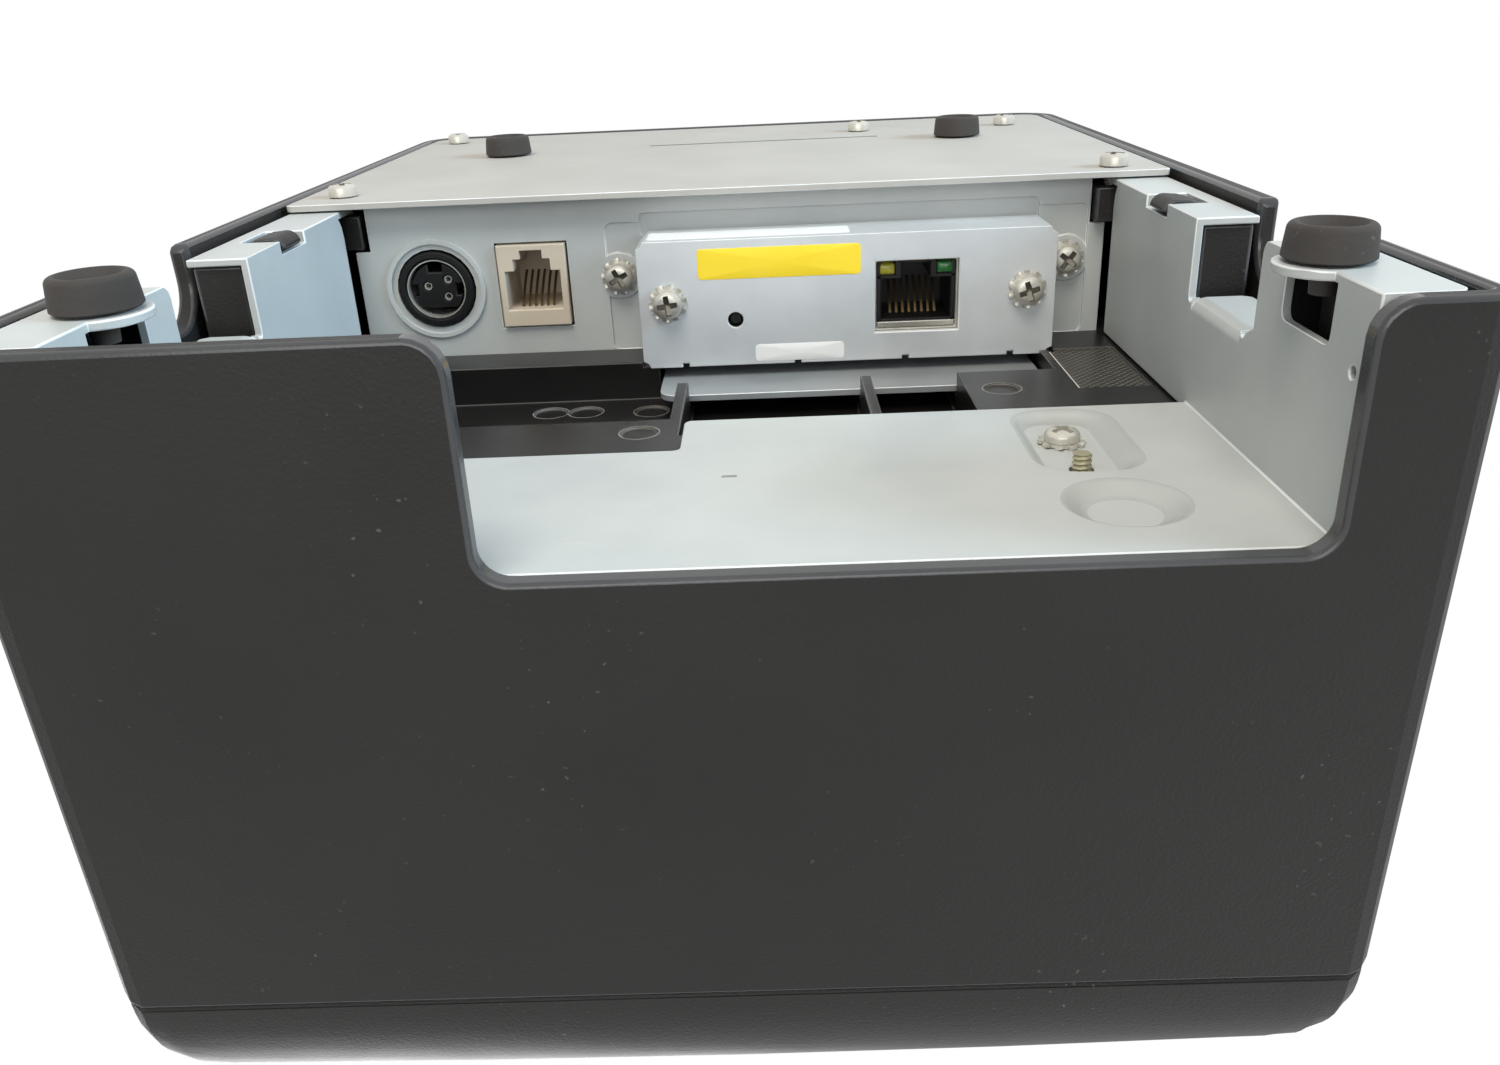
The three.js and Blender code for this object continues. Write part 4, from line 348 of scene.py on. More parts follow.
def softened(name, node, material, width, segments=2, share_at=None, edge_material=None, reshaped=None):
    """The node's own surface with flat faces merged and every sharp edge rounded.

    An edge takes the width times share_at of its middle, and never more than just under half of what
    the faces beside it leave. Along a run of edges the width changes slowly, by three tenths of an
    edge's length times the sine of the turn. Where a face still crosses itself, the edges there are
    halved."""
    source = frame["nodes"][node]
    mesh = source.data.copy()
    work = bmesh.new()
    work.from_mesh(mesh)
    bmesh.ops.remove_doubles(work, verts=work.verts, dist=2e-6)
    bmesh.ops.dissolve_limit(work, angle_limit=np.radians(0.05), verts=work.verts, edges=work.edges)
    if reshaped:
        reshaped(work)
    work.edges.index_update()
    share = work.edges.layers.float.new("bevel_weight_edge")
    crease, kept, drift, steep, tips = np.radians(32), 0.45, 0.3, 0.7, 0.02
    sharp = [edge.is_manifold and edge.calc_face_angle() > crease for edge in work.edges]
    shares = np.zeros(len(work.edges))
    meetings, slack = [], []
    for edge in work.edges:
        if not sharp[edge.index]:
            continue
        start, end = (np.array(corner.co) for corner in edge.verts)
        length = np.linalg.norm(end - start)
        along = (end - start) / length
        away = np.array([corner.co for face in edge.link_faces for corner in face.verts]) - start
        station = away @ along
        aside = np.linalg.norm(away - station[:, None] * along, axis=1)
        beside_it = (station > tips * length) & (station < (1 - tips) * length)
        room = kept * min(aside[beside_it], default=width)
        for corner in edge.verts:
            for other in corner.link_edges:
                reach = np.array(other.other_vert(corner).co - corner.co)
                beside, far = np.linalg.norm(np.cross(reach, along)), np.linalg.norm(reach)
                if beside > steep * far:
                    room = min(room, kept * beside)
                if other is not edge and sharp[other.index]:
                    meetings.append((edge.index, other.index))
                    slack.append(drift * min(length, far) * beside / far)
        wanted = width * (share_at(*((start + end) / 2 / MM)) if share_at else 1.0)
        shares[edge.index] = min(room, wanted) / width
    work.to_mesh(mesh)
    work.free()
    mesh.materials.clear()
    for paint in (material, edge_material):
        if paint:
            mesh.materials.append(paint)
    piece = placed(name, mesh)
    mesh.shade_smooth()
    mesh.set_sharp_from_angle(angle=crease)
    edge = piece.modifiers.new("edge", "BEVEL")
    edge.width = width
    edge.segments = segments
    edge.limit_method = "WEIGHT"
    edge.use_clamp_overlap = False
    edge.loop_slide = False
    if edge_material:
        edge.material = 1
    first, second = np.array(meetings).T
    slack = np.array(slack) / width
    ends = read(mesh.vertices, "co", 3)[read(mesh.edges, "vertices", 2, np.int32)]
    attempts, steps, near = 8, 12, 1.8 * width
    for attempt in range(attempts):
        for step in range(steps):
            np.minimum.at(shares, first, shares[second] + slack)
        mesh.attributes["bevel_weight_edge"].data.foreach_set("value", shares)
        mesh.update()
        crossed = knots(piece.evaluated_get(bpy.context.evaluated_depsgraph_get()).to_mesh())
        if not len(crossed):
            break
        apart = np.linalg.norm(ends[:, :, None] - crossed[None, None], axis=3).min(axis=(1, 2))
        shares[apart < near] *= 0.5
    flats = piece.modifiers.new("flats", "WEIGHTED_NORMAL")
    flats.keep_sharp = True
    flats.weight = 100
    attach(piece, source["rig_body"])
    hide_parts(node)
    return piece


def refaced(piece, finish, low, high, axis, flattest=0.97):
    """Faces between the corners low and high, in mm, that lean away from the plane across the axis get their
    own finish: here that is painted shade on pressed slopes and lines, or a painted highlight on the case's
    notch lip."""
    faces = piece.data.polygons
    middle, facing = read(faces, "center", 3) / MM, read(faces, "normal", 3)
    leaning = (abs(facing[:, axis]) < flattest) & ((middle > low) & (middle < high)).all(axis=1)
    faces.foreach_set("material_index", np.where(leaning, len(piece.data.materials), 0).astype(np.int32))
    piece.data.materials.append(finish)


wall_y = 94.5


def tightened(work):
    """Corners of the rear notch: a point at the angle a on an arc of the first radius moves to the same
    angle on an arc of the second one that touches the same two straight sides."""
    points = np.array([corner.co for corner in work.verts]) / MM
    in_wall = points[:, 1] > wall_y
    for corner, inward, wide, tight in (
            ((-22.8, 3.7), (-1, 1), 8, 3.8), ((59.4, 3.7), (1, 1), 8, 3.8),
            ((-22.8, 28.2), (1, -1), 4.5, 3.2), ((59.4, 28.2), (-1, -1), 4.5, 3.2)):
        corner, inward = np.array(corner), np.array(inward)
        away = points[:, [0, 2]] - (corner + wide * inward)
        arc = (abs(np.hypot(*away.T) - wide) < 0.02) & (away * inward < 1e-3).all(axis=1) & in_wall
        points[np.ix_(arc, [0, 2])] = corner + tight * inward + away[arc] * tight / wide
    for corner, place in zip(work.verts, points):
        corner.co = place * MM


def case_lips(x, y, z):
    """Full width on the bottom rim, round the rear notch and round the side exits, a third elsewhere."""
    rim = z < 4.5
    notch = y > wall_y and -32 < x < 69 and z < 29.5
    side_exit = abs(x) > 68 and 38 < y < 75 and z < 16.5
    return 1.0 if rim or notch or side_exit else 0.33


# Lip and edge colour: smoother and glossier than the case, and painted lighter, a painted highlight along the
# rounded edges.
charcoal_lip_highlight = moulding("charcoal_lip_highlight", (46, 46, 47), (54, 54, 55), (150, 148, 144), 0.22, 0.00002,
                        specular=0.6)
case = softened("case_moulding", "lower_case", charcoal, 1.15 * MM, 4, share_at=case_lips,
                edge_material=charcoal_lip_highlight, reshaped=tightened)
# The leaning faces of the rear notch's lip take the same lighter colour: a painted highlight.
refaced(case, charcoal_lip_highlight, (-36, 94.9, 3.75), (73, 97.6, 28.5), axis=1, flattest=0.5)


# Roll cover, cutter cover, control panel and opening lever: mouldings of the case's plastic, rounded all
# over. The roll cover's back is one long even arc, and it turns on two pins. The cutter cover slides
# forward, the panel is snapped on, and the lever sinks into it.
def arched(work):
    """Lifts the flats of the roll cover's arc onto the curve. Flat i runs from corner i to corner i + 1 and
    lies between the lines that halve the two corners. It is cut across at even shares, and a point at the
    share u moves outwards by 4 h u (1 - u), with h half the flat's length times tan(turn / 4), fading out
    10 to 13 mm deep."""
    top, proud, fade, depth = 148, 3, 3, 13
    corners = np.array([(97.5, 81.4), (97.25, 84.8), (96.5, 88.12), (95.26, 91.3), (93.57, 94.26),
                        (91.46, 96.94), (79.83, 108.37), (67.09, 118.54), (53.37, 127.34), (38.8, 134.67),
                        (23.56, 140.45), (7.8, 144.63), (-8.31, 147.16), (-24.59, 148.0)])
    flats = np.diff(corners, axis=0)
    lengths = np.linalg.norm(flats, axis=1)
    along = flats / lengths[:, None]
    outward = np.stack([along[:, 1], -along[:, 0]], axis=1)
    halving = np.concatenate([outward[:1], outward[:-1] + outward[1:], outward[-1:]])
    halving /= np.linalg.norm(halving, axis=1)[:, None]
    across = np.stack([-halving[:, 1], halving[:, 0]], axis=1)
    turns = np.arccos(np.clip((along[1:] * along[:-1]).sum(axis=1), -1, 1))
    turns = (np.append(turns[0], turns) + np.append(turns, turns[-1])) / 2

    def stations(points, number):
        flat = points[:, 1:] / MM
        first = (flat - corners[number]) @ across[number]
        second = (flat - corners[number + 1]) @ across[number + 1]
        return first, second, -(flat - corners[number]) @ outward[number]

    for number, length in enumerate(lengths):
        for share in ((0.25, 0.5, 0.75) if length > 8 else (0.5,)):
            centre = corners[number] + share * flats[number]
            normal = (1 - share) * across[number] + share * across[number + 1]
            chosen = []
            for face in work.faces:
                first, second, deep = stations(np.array([corner.co for corner in face.verts]), number)
                if first.max() > 1e-3 and second.min() < -1e-3 and deep.min() < depth:
                    chosen.append(face)
            geometry = set(chosen) | {edge for face in chosen for edge in face.edges}
            geometry |= {corner for face in chosen for corner in face.verts}
            bmesh.ops.bisect_plane(work, geom=list(geometry), dist=2e-6,
                                   plane_co=(0, *(centre * MM)), plane_no=(0, *normal))
    points = np.array([corner.co for corner in work.verts])
    moved = points.copy()
    for number, length in enumerate(lengths):
        first, second, deep = stations(points, number)
        inside = (first > 0) & (second < 0) & (deep < depth) & (deep > -proud)
        share = first[inside] / (first[inside] - second[inside])
        bow = 2 * length * np.tan(turns[number] / 4) * share * (1 - share)
        lift = bow * np.clip((depth - deep[inside]) / fade, 0, 1)
        moved[inside, 1:] += lift[:, None] * outward[number] * MM
    moved[:, 2] = np.minimum(moved[:, 2], top * MM)
    for corner, place in zip(work.verts, moved):
        corner.co = place


softened("lid_moulding", "roll_cover", charcoal, 0.4 * MM, 3, reshaped=arched)
for name, node, width in (("cutter_cap", "cutter_cover", 0.4), ("panel_cap", "control_panel", 0.4),
                          ("opening_lever", "open_lever", 0.3)):
    softened(name, node, charcoal, width * MM, 3)


# Cavity lining, socket panel and base plate: zinc-coated steel sheet, folded and pressed, dull under a thin
# clear film, with faint clouds and hair scratches. The punched and cut edges are painted bright, a painted
# highlight, the slopes of the pressed recess and the pressed lines are painted darker, a painted shade, and
# screws hold all three.
rolled, given, out = group("rolled_zinc", [("Scratch", 0.5)], ["Height", "Tone", "Scratch"])
where = inside_object(rolled)
stretch = rolled.nodes.new("ShaderNodeMapping")
stretch.inputs["Scale"].default_value = (1.0, 5.0, 5.0)
stretch.inputs["Rotation"].default_value = (0.0, 0.05, 0.09)
wire(rolled, (where, stretch.inputs["Vector"]))
fibre = noise(rolled, stretch.outputs[0], 320, 3)
cloud = noise(rolled, where, 46, 5, 0.6)
hair = spread(rolled, noise(rolled, stretch.outputs[0], 150, 2), 0.735, 0.75)
wire(rolled, (fibre, out.inputs["Height"]), (spread(rolled, cloud, 0.3, 0.7), out.inputs["Tone"]),
     (sums(rolled, "MULTIPLY", hair, given.outputs["Scratch"]), out.inputs["Scratch"]))


def sheet_metal(name, dark, light, scratch_tone, rough, metallic, depth=0.00001, scratch=0.2,
                specular=0.5):
    return flecked(name, rolled, "Scratch", (dark, light, scratch_tone), rough, 0.06, depth, metallic,
                   specular, Scratch=scratch)


zinc_sheet = sheet_metal("zinc_sheet", (174, 178, 177), (188, 191, 188), (206, 206, 202), 0.46, 0.15)
plate_sheet = sheet_metal("plate_sheet", (167, 164, 158), (179, 176, 170), (200, 197, 191), 0.6, 0.02,
                          specular=0.1)
# Darker sheet for the slopes of the pressed recess and its dimple: painted shade.
recess_shade_sheet = sheet_metal("recess_shade_sheet", (161, 164, 162), (175, 178, 174), (200, 200, 196), 0.5, 0.15)
# Darker sheet for the steps of the panel's pressed outlines and the plate's pressed line: painted shade.
pressed_line_shade_sheet = sheet_metal("pressed_line_shade_sheet", (128, 130, 128), (142, 144, 141), (180, 180, 176), 0.5, 0.15)
# Bright colour for rounded cut edges: a painted highlight along the edges.
cut_edge_highlight = sheet_metal("cut_edge_highlight", (206, 208, 208), (226, 227, 225), (240, 240, 238), 0.35, 0.3)


def lining_edges(x, y, z):
    """Full width on the cut edges and folds, none in the pressed recess, its dimple and the slit mark."""
    recess = 34 < x < 58 and 46 < y < 91 and z > 27
    slit = abs(x - 0.9) < 2 and 68 < y < 71.5
    return 0.0 if recess or slit else 1.0


lining = softened("cavity_lining", "cavity_frame", zinc_sheet, 0.2 * MM,
                  share_at=lining_edges, edge_material=cut_edge_highlight)
# The slopes of the recess and its dimple are painted darker: painted shade.
refaced(lining, recess_shade_sheet, (35.5, 48, 28.2), (53, 91, 30.4), axis=2)


socket_x, socket_z = -48.1, 18.6


def panel_edges(x, y, z):
    """Full width on the folds and openings, a tenth on the pressed ring round the power socket."""
    return 0.1 if np.hypot(x - socket_x, z - socket_z) < 10 else 1.0


panel = softened("socket_panel", "connector_panel", zinc_sheet, 0.15 * MM,
                 share_at=panel_edges, edge_material=cut_edge_highlight)
# The steps of the pressed outlines are painted darker: painted shade.
refaced(panel, pressed_line_shade_sheet, (-20.2, 4.4, 9), (58.2, 5.6, 31), axis=1)


def plate_edges(x, y, z):
    """Full width on the outline of the plate, none on the pressed line inside it."""
    return 0.0 if abs(x) < 60 and -70 < y < -45 else 1.0


base = softened("base_sheet", "bottom_plate", plate_sheet, 0.22 * MM, share_at=plate_edges,
                edge_material=cut_edge_highlight)
# The pressed line across the plate is painted darker: painted shade.
refaced(base, pressed_line_shade_sheet, (-42, -59, 3), (54, -55, 5), axis=2, flattest=1.1)


# Interface card: its folded front is bare galvanised sheet, a little brighter and smoother than the lining,
# and the guide it slides on is the same sheet painted darker, a painted shade under the front. Two screws
# hold the front, and it hides the card's board.
bare_sheet = sheet_metal("bare_sheet", (190, 194, 196), (207, 210, 211), (222, 222, 220), 0.38, 0.35)
softened("card_front", "interface_bracket", bare_sheet, 0.18 * MM, edge_material=cut_edge_highlight)
# The guide is painted darker than the front: painted shade, as it lies under it.
runner_shade_sheet = sheet_metal("runner_shade_sheet", (138, 143, 145), (156, 160, 162), (190, 190, 188), 0.4, 0.3)
softened("card_runner", "card_guide", runner_shade_sheet, 0.2 * MM, edge_material=cut_edge_highlight)


# Blank stickers on the card: coated paper a twentieth of a millimetre thick, punched with rounded
# corners, two white and one yellow, stuck on flat.
corner_points = 6


def label_outline(width, height, radius):
    """Rounded rectangle about (0, 0): four quarter circles of the radius, joined by straight runs."""
    turns = np.linspace(0, np.pi / 2, corner_points)
    wide, tall = width / 2 - radius, height / 2 - radius
    runs = []
    for quarter, (x, y) in enumerate(((wide, tall), (-wide, tall), (-wide, -tall), (wide, -tall))):
        angle = turns + quarter * np.pi / 2
        runs.append(np.stack([x + radius * np.cos(angle), y + radius * np.sin(angle)], axis=1))
    return np.concatenate(runs)


def axes_towards(axis):
    """Basis whose third column is the axis and whose first is +X: the second is axis cross X."""
    axis = np.array(axis, float)
    return np.stack([[1.0, 0.0, 0.0], np.cross(axis, [1.0, 0.0, 0.0]), axis], axis=1)


def knit(points, loop_rows=False, loop_columns=True):
    """Quads of a grid of points: corner (i, j) joins (i + 1, j), (i + 1, j + 1) and (i, j + 1). A loop also
    joins the last row or column to the first."""
    rows, columns = points.shape[:2]
    index = np.arange(rows * columns).reshape(rows, columns)
    if loop_rows:
        index = np.vstack([index, index[:1]])
    if loop_columns:
        index = np.hstack([index, index[:, :1]])
    quads = np.stack([index[:-1, :-1], index[1:, :-1], index[1:, 1:], index[:-1, 1:]], axis=-1)
    return points.reshape(-1, 3), quads.reshape(-1, 4)


def built(name, surfaces, materials, body, angle=40):
    """One piece from knitted surfaces in mm, each with the number of its material or one per face."""
    points, faces, paints, start = [], [], [], 0
    for (corners, quads), paint in surfaces:
        points.append(corners)
        faces.append(quads + start)
        paints.append(np.broadcast_to(paint, len(quads)))
        start += len(corners)
    mesh = bpy.data.meshes.new(name)
    mesh.from_pydata((np.concatenate(points) * MM).tolist(), [], np.concatenate(faces).tolist())
    mesh.polygons.foreach_set("material_index", np.concatenate(paints).astype(np.int32))
    work = bmesh.new()
    work.from_mesh(mesh)
    bmesh.ops.remove_doubles(work, verts=work.verts, dist=1e-7)
    bmesh.ops.dissolve_degenerate(work, edges=work.edges, dist=1e-8)
    bmesh.ops.recalc_face_normals(work, faces=work.faces)
    work.to_mesh(mesh)
    work.free()
    for paint in materials:
        mesh.materials.append(paint)
    mesh.shade_smooth()
    mesh.set_sharp_from_angle(angle=np.radians(angle))
    piece = placed(name, mesh)
    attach(piece, body)
    return piece


def label(name, centre, axis, width, height, material):
    """Sticker: its outline shrunk to nothing at the back, then at full size from back to front, drawn in
    a little at the front and shrunk to nothing again."""
    radius, thick = 0.6, 0.05
    flat = label_outline(width, height, radius)
    heights = np.array([0.0, 0.0, thick * 0.8, thick, thick])
    shares = np.array([0.0, 1.0, 1.0, 0.985, 0.0])[:, None, None]
    levels = np.broadcast_to(heights[:, None, None], (5, len(flat), 1))
    ring = np.concatenate([flat[None] * shares, levels], axis=2) @ axes_towards(axis).T + np.array(centre)
    return built(name, [(knit(ring), 0)], [material], "housing")


def paper(name, tone, fibre_tone):
    material, tree = painted(name)
    where = inside_object(tree)
    fibres = noise(tree, where, 1400, 4)
    cast = spread(tree, noise(tree, where, 120, 3), 0.3, 0.7)
    colour = shades(tree, cast, tone, fibre_tone)
    finish_with(tree, colour, spread(tree, fibres, 0, 1, 0.4, 0.55), fibres, 0.000004)
    return material


white_paper = paper("white_paper", (216, 216, 214), (224, 224, 222))
yellow_paper = paper("yellow_paper", (240, 208, 40), (246, 214, 54))
face_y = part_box("interface_bracket")[1][1] / MM
flange_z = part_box("interface_bracket")[0][2] / MM
label("label_yellow", (8.05, face_y, 14.3), (0, 1, 0), 25.1, 4.7, yellow_paper)
label("label_white", (10.9, face_y, 28.5), (0, 1, 0), 14.0, 2.7, white_paper)
label("label_strip", (3.4, face_y - 4.6, flange_z), (0, 0, -1), 31.4, 6.0, white_paper)


# Screws: bright zinc-plated pan heads with a cross recess, rolled threads, and a toothed lock washer
# under each head in the cavity. They clamp the plate, the panel, the card and the earth lead.
def square_net(marks):
    lines = np.concatenate([-np.array(marks)[::-1], [0.0], marks])
    return np.meshgrid(lines, lines, indexing="ij")


def pan_head(radius, height, rim):
    """Head on z = 0. A square net (s, t) is drawn onto the disc by x = s sqrt(1 - t^2 / 2) and
    y = t sqrt(1 - s^2 / 2), z falls from the crown to the rim as (1 - rho^4)^0.7, the cross recess
    rises towards the ends of its arms, and the lines beyond 1 fold down to the seat and in to the axis.
    Also gives 1 for each face of the recess and 0 for the rest."""
    arm, half_arm, deep = 0.68, 0.17, 1.1
    marks = np.concatenate([np.linspace(0.05, half_arm - 0.03, 2), [half_arm, half_arm + 0.035],
                            np.linspace(half_arm + 0.1, arm - 0.05, 4), [arm, arm + 0.04],
                            np.linspace(arm + 0.1, 0.97, 5), [1.0, 1.06, 1.12]])
    s, t = square_net(marks)
    inner_s, inner_t = np.clip(s, -1, 1), np.clip(t, -1, 1)
    x = inner_s * np.sqrt(1 - inner_t ** 2 / 2)
    y = inner_t * np.sqrt(1 - inner_s ** 2 / 2)
    rho = np.clip(np.hypot(x, y), 0, 1)
    z = rim + (height - rim) * (1 - rho ** 4) ** 0.7
    long, short = np.maximum(abs(s), abs(t)), np.minimum(abs(s), abs(t))
    inside = (short <= half_arm + 1e-6) & (long <= arm + 1e-6)
    z = np.where(inside, height - deep * (1 - 0.45 * long / arm), z)
    z = np.where(long > 1.03, 0.0, z)
    fold = np.where(long > 1.09, 0.0, 1.0)
    corners = inside.astype(int)
    sunk = corners[:-1, :-1] + corners[1:, :-1] + corners[1:, 1:] + corners[:-1, 1:] > 0
    return np.stack([radius * x * fold, radius * y * fold, z], axis=-1), sunk.astype(int).ravel()


def circle(count):
    return np.linspace(0, 2 * np.pi, count, endpoint=False)


def toothed_washer(inner, root, tip, thick):
    """Star washer on z = 0: the outer radius swings between root and tip with the teeth, and each tooth
    is turned out of the plane by twist times the sine of its own angle."""
    teeth, twist = 10, 0.12
    angle = circle(teeth * 14)
    tooth = np.clip(4.0 * np.cos(teeth * angle) + 2.0, 0, 1)
    lift = twist * tooth * np.sin(teeth * angle)
    flat, outer = np.zeros_like(angle), root + (tip - root) * tooth
    stations = ((inner + flat, flat), (root + flat, flat), (outer, lift),
                (outer, thick + lift), (root + flat, thick + flat), (inner + flat, thick + flat))
    return np.stack([np.stack([r * np.cos(angle), r * np.sin(angle), h], axis=1) for r, h in stations])


def threaded(core, crest, pitch, top, bottom):
    """Rolled thread from top down to bottom, closed to the axis at both ends:
    r = core + (crest - core) |2 frac(z / pitch - angle / 2 pi) - 1|."""
    sides, per_turn = 24, 8
    z = np.linspace(top, bottom, int(abs(top - bottom) / pitch * per_turn) + 2)
    angle = circle(sides)
    phase = z[:, None] / pitch - angle[None] / (2 * np.pi)
    radius = core + (crest - core) * abs(2 * (phase - np.floor(phase)) - 1)
    radius = np.concatenate([np.zeros((1, sides)), radius, np.zeros((1, sides))])
    z = np.concatenate([[top], z, [bottom]])
    return np.stack([radius * np.cos(angle), radius * np.sin(angle),
                     np.broadcast_to(z[:, None], radius.shape)], axis=-1)


bright = sheet_metal("bright_zinc", (186, 182, 172), (210, 207, 196), (236, 236, 230), 0.34, 0.6, 0.000006)
# Darker zinc for the faces of the cross recess: painted shade in the recess.
recess_shade_zinc = sheet_metal("recess_shade_zinc", (104, 100, 90), (128, 123, 110), (190, 186, 174), 0.4, 0.6, 0.000006)
head_radius, head_high = 2.2, 1.9


def in_mm(box):
    return [np.array(corner) / MM for corner in box]


def fitted_screw(node, axis, washer, spin, shank=7.0, dome=head_high, rim=1.3, recess=recess_shade_zinc):
    """Screw in the box of its node: a full head's crown touches the box on the side the axis points to.
    Spin turns it about that axis, by radians."""
    low, high = in_mm(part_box(node))
    way = np.array(axis, float)
    crown = np.where(way > 0, high, np.where(way < 0, low, (low + high) / 2))
    seat = crown - way * head_high
    turn = np.array([[np.cos(spin), -np.sin(spin), 0], [np.sin(spin), np.cos(spin), 0], [0, 0, 1]])
    basis = axes_towards(axis) @ turn
    head, sunk = pan_head(head_radius, dome, rim)
    thread = threaded(core=1.12, crest=1.38, pitch=0.7, top=0.0, bottom=-shank)
    parts = [(knit(head @ basis.T + seat, loop_columns=False), sunk), (knit(thread @ basis.T + seat), 0)]
    if washer:
        star = toothed_washer(inner=1.5, root=2.45, tip=2.95, thick=0.4) - [0, 0, 0.45]
        parts.append((knit(star @ basis.T + seat, loop_rows=True), 0))
    piece = built(node + "_detailed", parts, [bright, recess], "housing", 32)
    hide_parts(node)


for number in range(5):
    fitted_screw(f"plate_screw_{number + 1}", (0, 0, -1), False, 0.4 + 0.7 * number, 5.8)
for node, spin in (("panel_screw_left", 0.5), ("panel_screw_right", 0.9), ("bracket_screw_left", 0.12),
                   ("bracket_screw_right", 0.3)):
    fitted_screw(node, (0, 1, 0), True, spin)
fitted_screw("ground_screw", (0, 0, -1), True, 0.6, 5.6, 1.45, 0.7, bright)
yellow_zinc = sheet_metal("yellow_zinc", (150, 145, 118), (178, 173, 144), (220, 216, 196), 0.4, 0.6,
                          0.000006)
stud_low, stud_high = in_mm(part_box("ground_stud"))
stud_axis, shortened = np.array([*(stud_low + stud_high)[:2] / 2, 0]), 2.0
stud_thread = threaded(core=0.92, crest=1.18, pitch=0.6, top=stud_high[2], bottom=stud_low[2] + shortened)
stud_thread = stud_thread + stud_axis
stud = built("ground_stud_thread", [(knit(stud_thread), 0)], [yellow_zinc], "housing", 30)
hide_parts("ground_stud")


# Feet: round pucks of dark rubber, moulded with a rounded tread and a dished middle. A short stem on
# each is pressed into a hole in the sheet or the case.
def turned(profile, count=64):
    """Surface of revolution about z of (radius, height) points: x = r cos a, y = r sin a, z = h."""
    angle = circle(count)
    radius, height = np.array(profile, float).T
    return np.stack([radius[:, None] * np.cos(angle), radius[:, None] * np.sin(angle),
                     np.broadcast_to(height[:, None], (len(height), count))], axis=-1)


def arc_run(centre, radius, start, stop, count):
    """Points of an arc in the (radius, height) plane from start to stop degrees."""
    angle = np.radians(np.linspace(start, stop, count))
    return np.stack([centre[0] + radius * np.cos(angle), centre[1] + radius * np.sin(angle)], axis=1)


rubber = moulding("foot_rubber", (50, 47, 45), (62, 58, 55), (130, 120, 110), 0.72, 0.00006, 1800.0, 0.9)
for side in ("left", "right"):
    for end in ("rear", "front"):
        node = f"foot_{end}_{side}"
        low, high = in_mm(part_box(node))
        middle = np.array([*(low + high)[:2] / 2, low[2]])
        wide, tall = (high - low)[0] / 2, (high - low)[2]
        dish, tread = arc_run((2.3, 1.6), 0.75, -100, -60, 3), arc_run((wide - 1.0, 0.75), 0.75, -110, -10, 8)
        flank = [(wide - 0.12, 2.0), (wide, 3.4), (wide - 0.25, 3.6), (1.7, 3.6), (1.4, tall), (0, tall)]
        puck = np.concatenate([[(0, 1.15)], dish, tread, flank])
        piece = built(node + "_rubber", [(knit(turned(puck) + middle), 0)],
                      [rubber], frame["nodes"][node]["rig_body"], 50)
        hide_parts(node)


# Network socket: a folded shield of tin-plated steel round a moulded black insert, with eight gilded
# spring wires and two lamp windows. It is soldered to the board behind the panel.
tin = sheet_metal("tin_shield", (196, 192, 182), (216, 213, 204), (236, 234, 228), 0.28, 0.75, 0.000004)
satin_black = moulding("satin_black", (14, 13, 13), (21, 20, 19), (120, 116, 110), 0.4, 0.00003, 1500.0,
                       0.35, 0.35)
gilt = sheet_metal("gilt_contact", (96, 80, 50), (124, 104, 68), (170, 152, 112), 0.34, 0.8, 0.000002)
contact_pitch = 1.02
facing_rear = axes_towards((0, 1, 0))


def rounded_tube(stations, radius):
    """Rectangular tube along z: its rounded outline at each (width, height, z), from the outside round the
    mouth and back down the inside."""
    rings = [np.concatenate([label_outline(w, h, radius), np.full((4 * corner_points, 1), z)], axis=1)
             for w, h, z in stations]
    return np.stack(rings)


def contact_wires(name, count, middle_x, start, stop):
    """Sprung wires side by side: each is an oval section 0.44 mm wide, carried along (y, z) = start +
    (stop - start) u + (0.5 sin(pi u), 0)."""
    u = np.linspace(0, 1, 10)[:, None]
    angle = circle(8)[None]
    (y0, z0), (y1, z1) = start, stop
    middle_y = y0 + (y1 - y0) * u + 0.5 * np.sin(np.pi * u)
    middle_z = z0 + (z1 - z0) * u
    surfaces = []
    for x in (np.arange(count) - (count - 1) / 2) * contact_pitch + middle_x:
        points = np.stack([x + 0.22 * np.cos(angle) + 0 * u, middle_y + 0.12 * np.sin(angle),
                           middle_z + 0.12 * np.sin(angle)], axis=-1)
        surfaces.append((knit(points), 0))
    return built(name, surfaces, [gilt], "housing", 60)


lan_low, lan_high = in_mm(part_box("lan_jack"))
lan_middle = (lan_low + lan_high) / 2
lan_wide, lan_tall = (lan_high - lan_low)[[0, 2]]
mouth_y = lan_high[1]
shield = rounded_tube([(lan_wide, lan_tall, -15.9), (lan_wide, lan_tall, -0.12),
                       (lan_wide - 0.24, lan_tall - 0.24, 0.0), (lan_wide - 1.6, lan_tall - 1.7, 0.0),
                       (lan_wide - 1.8, lan_tall - 1.9, -0.15), (lan_wide - 1.8, lan_tall - 1.9, -15.9)],
                      0.35)
shield = shield @ facing_rear.T + [lan_middle[0], mouth_y, lan_middle[2]]
piece = built("lan_shield", [(knit(shield, loop_rows=True), 0)], [tin], "housing", 30)
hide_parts("lan_jack")


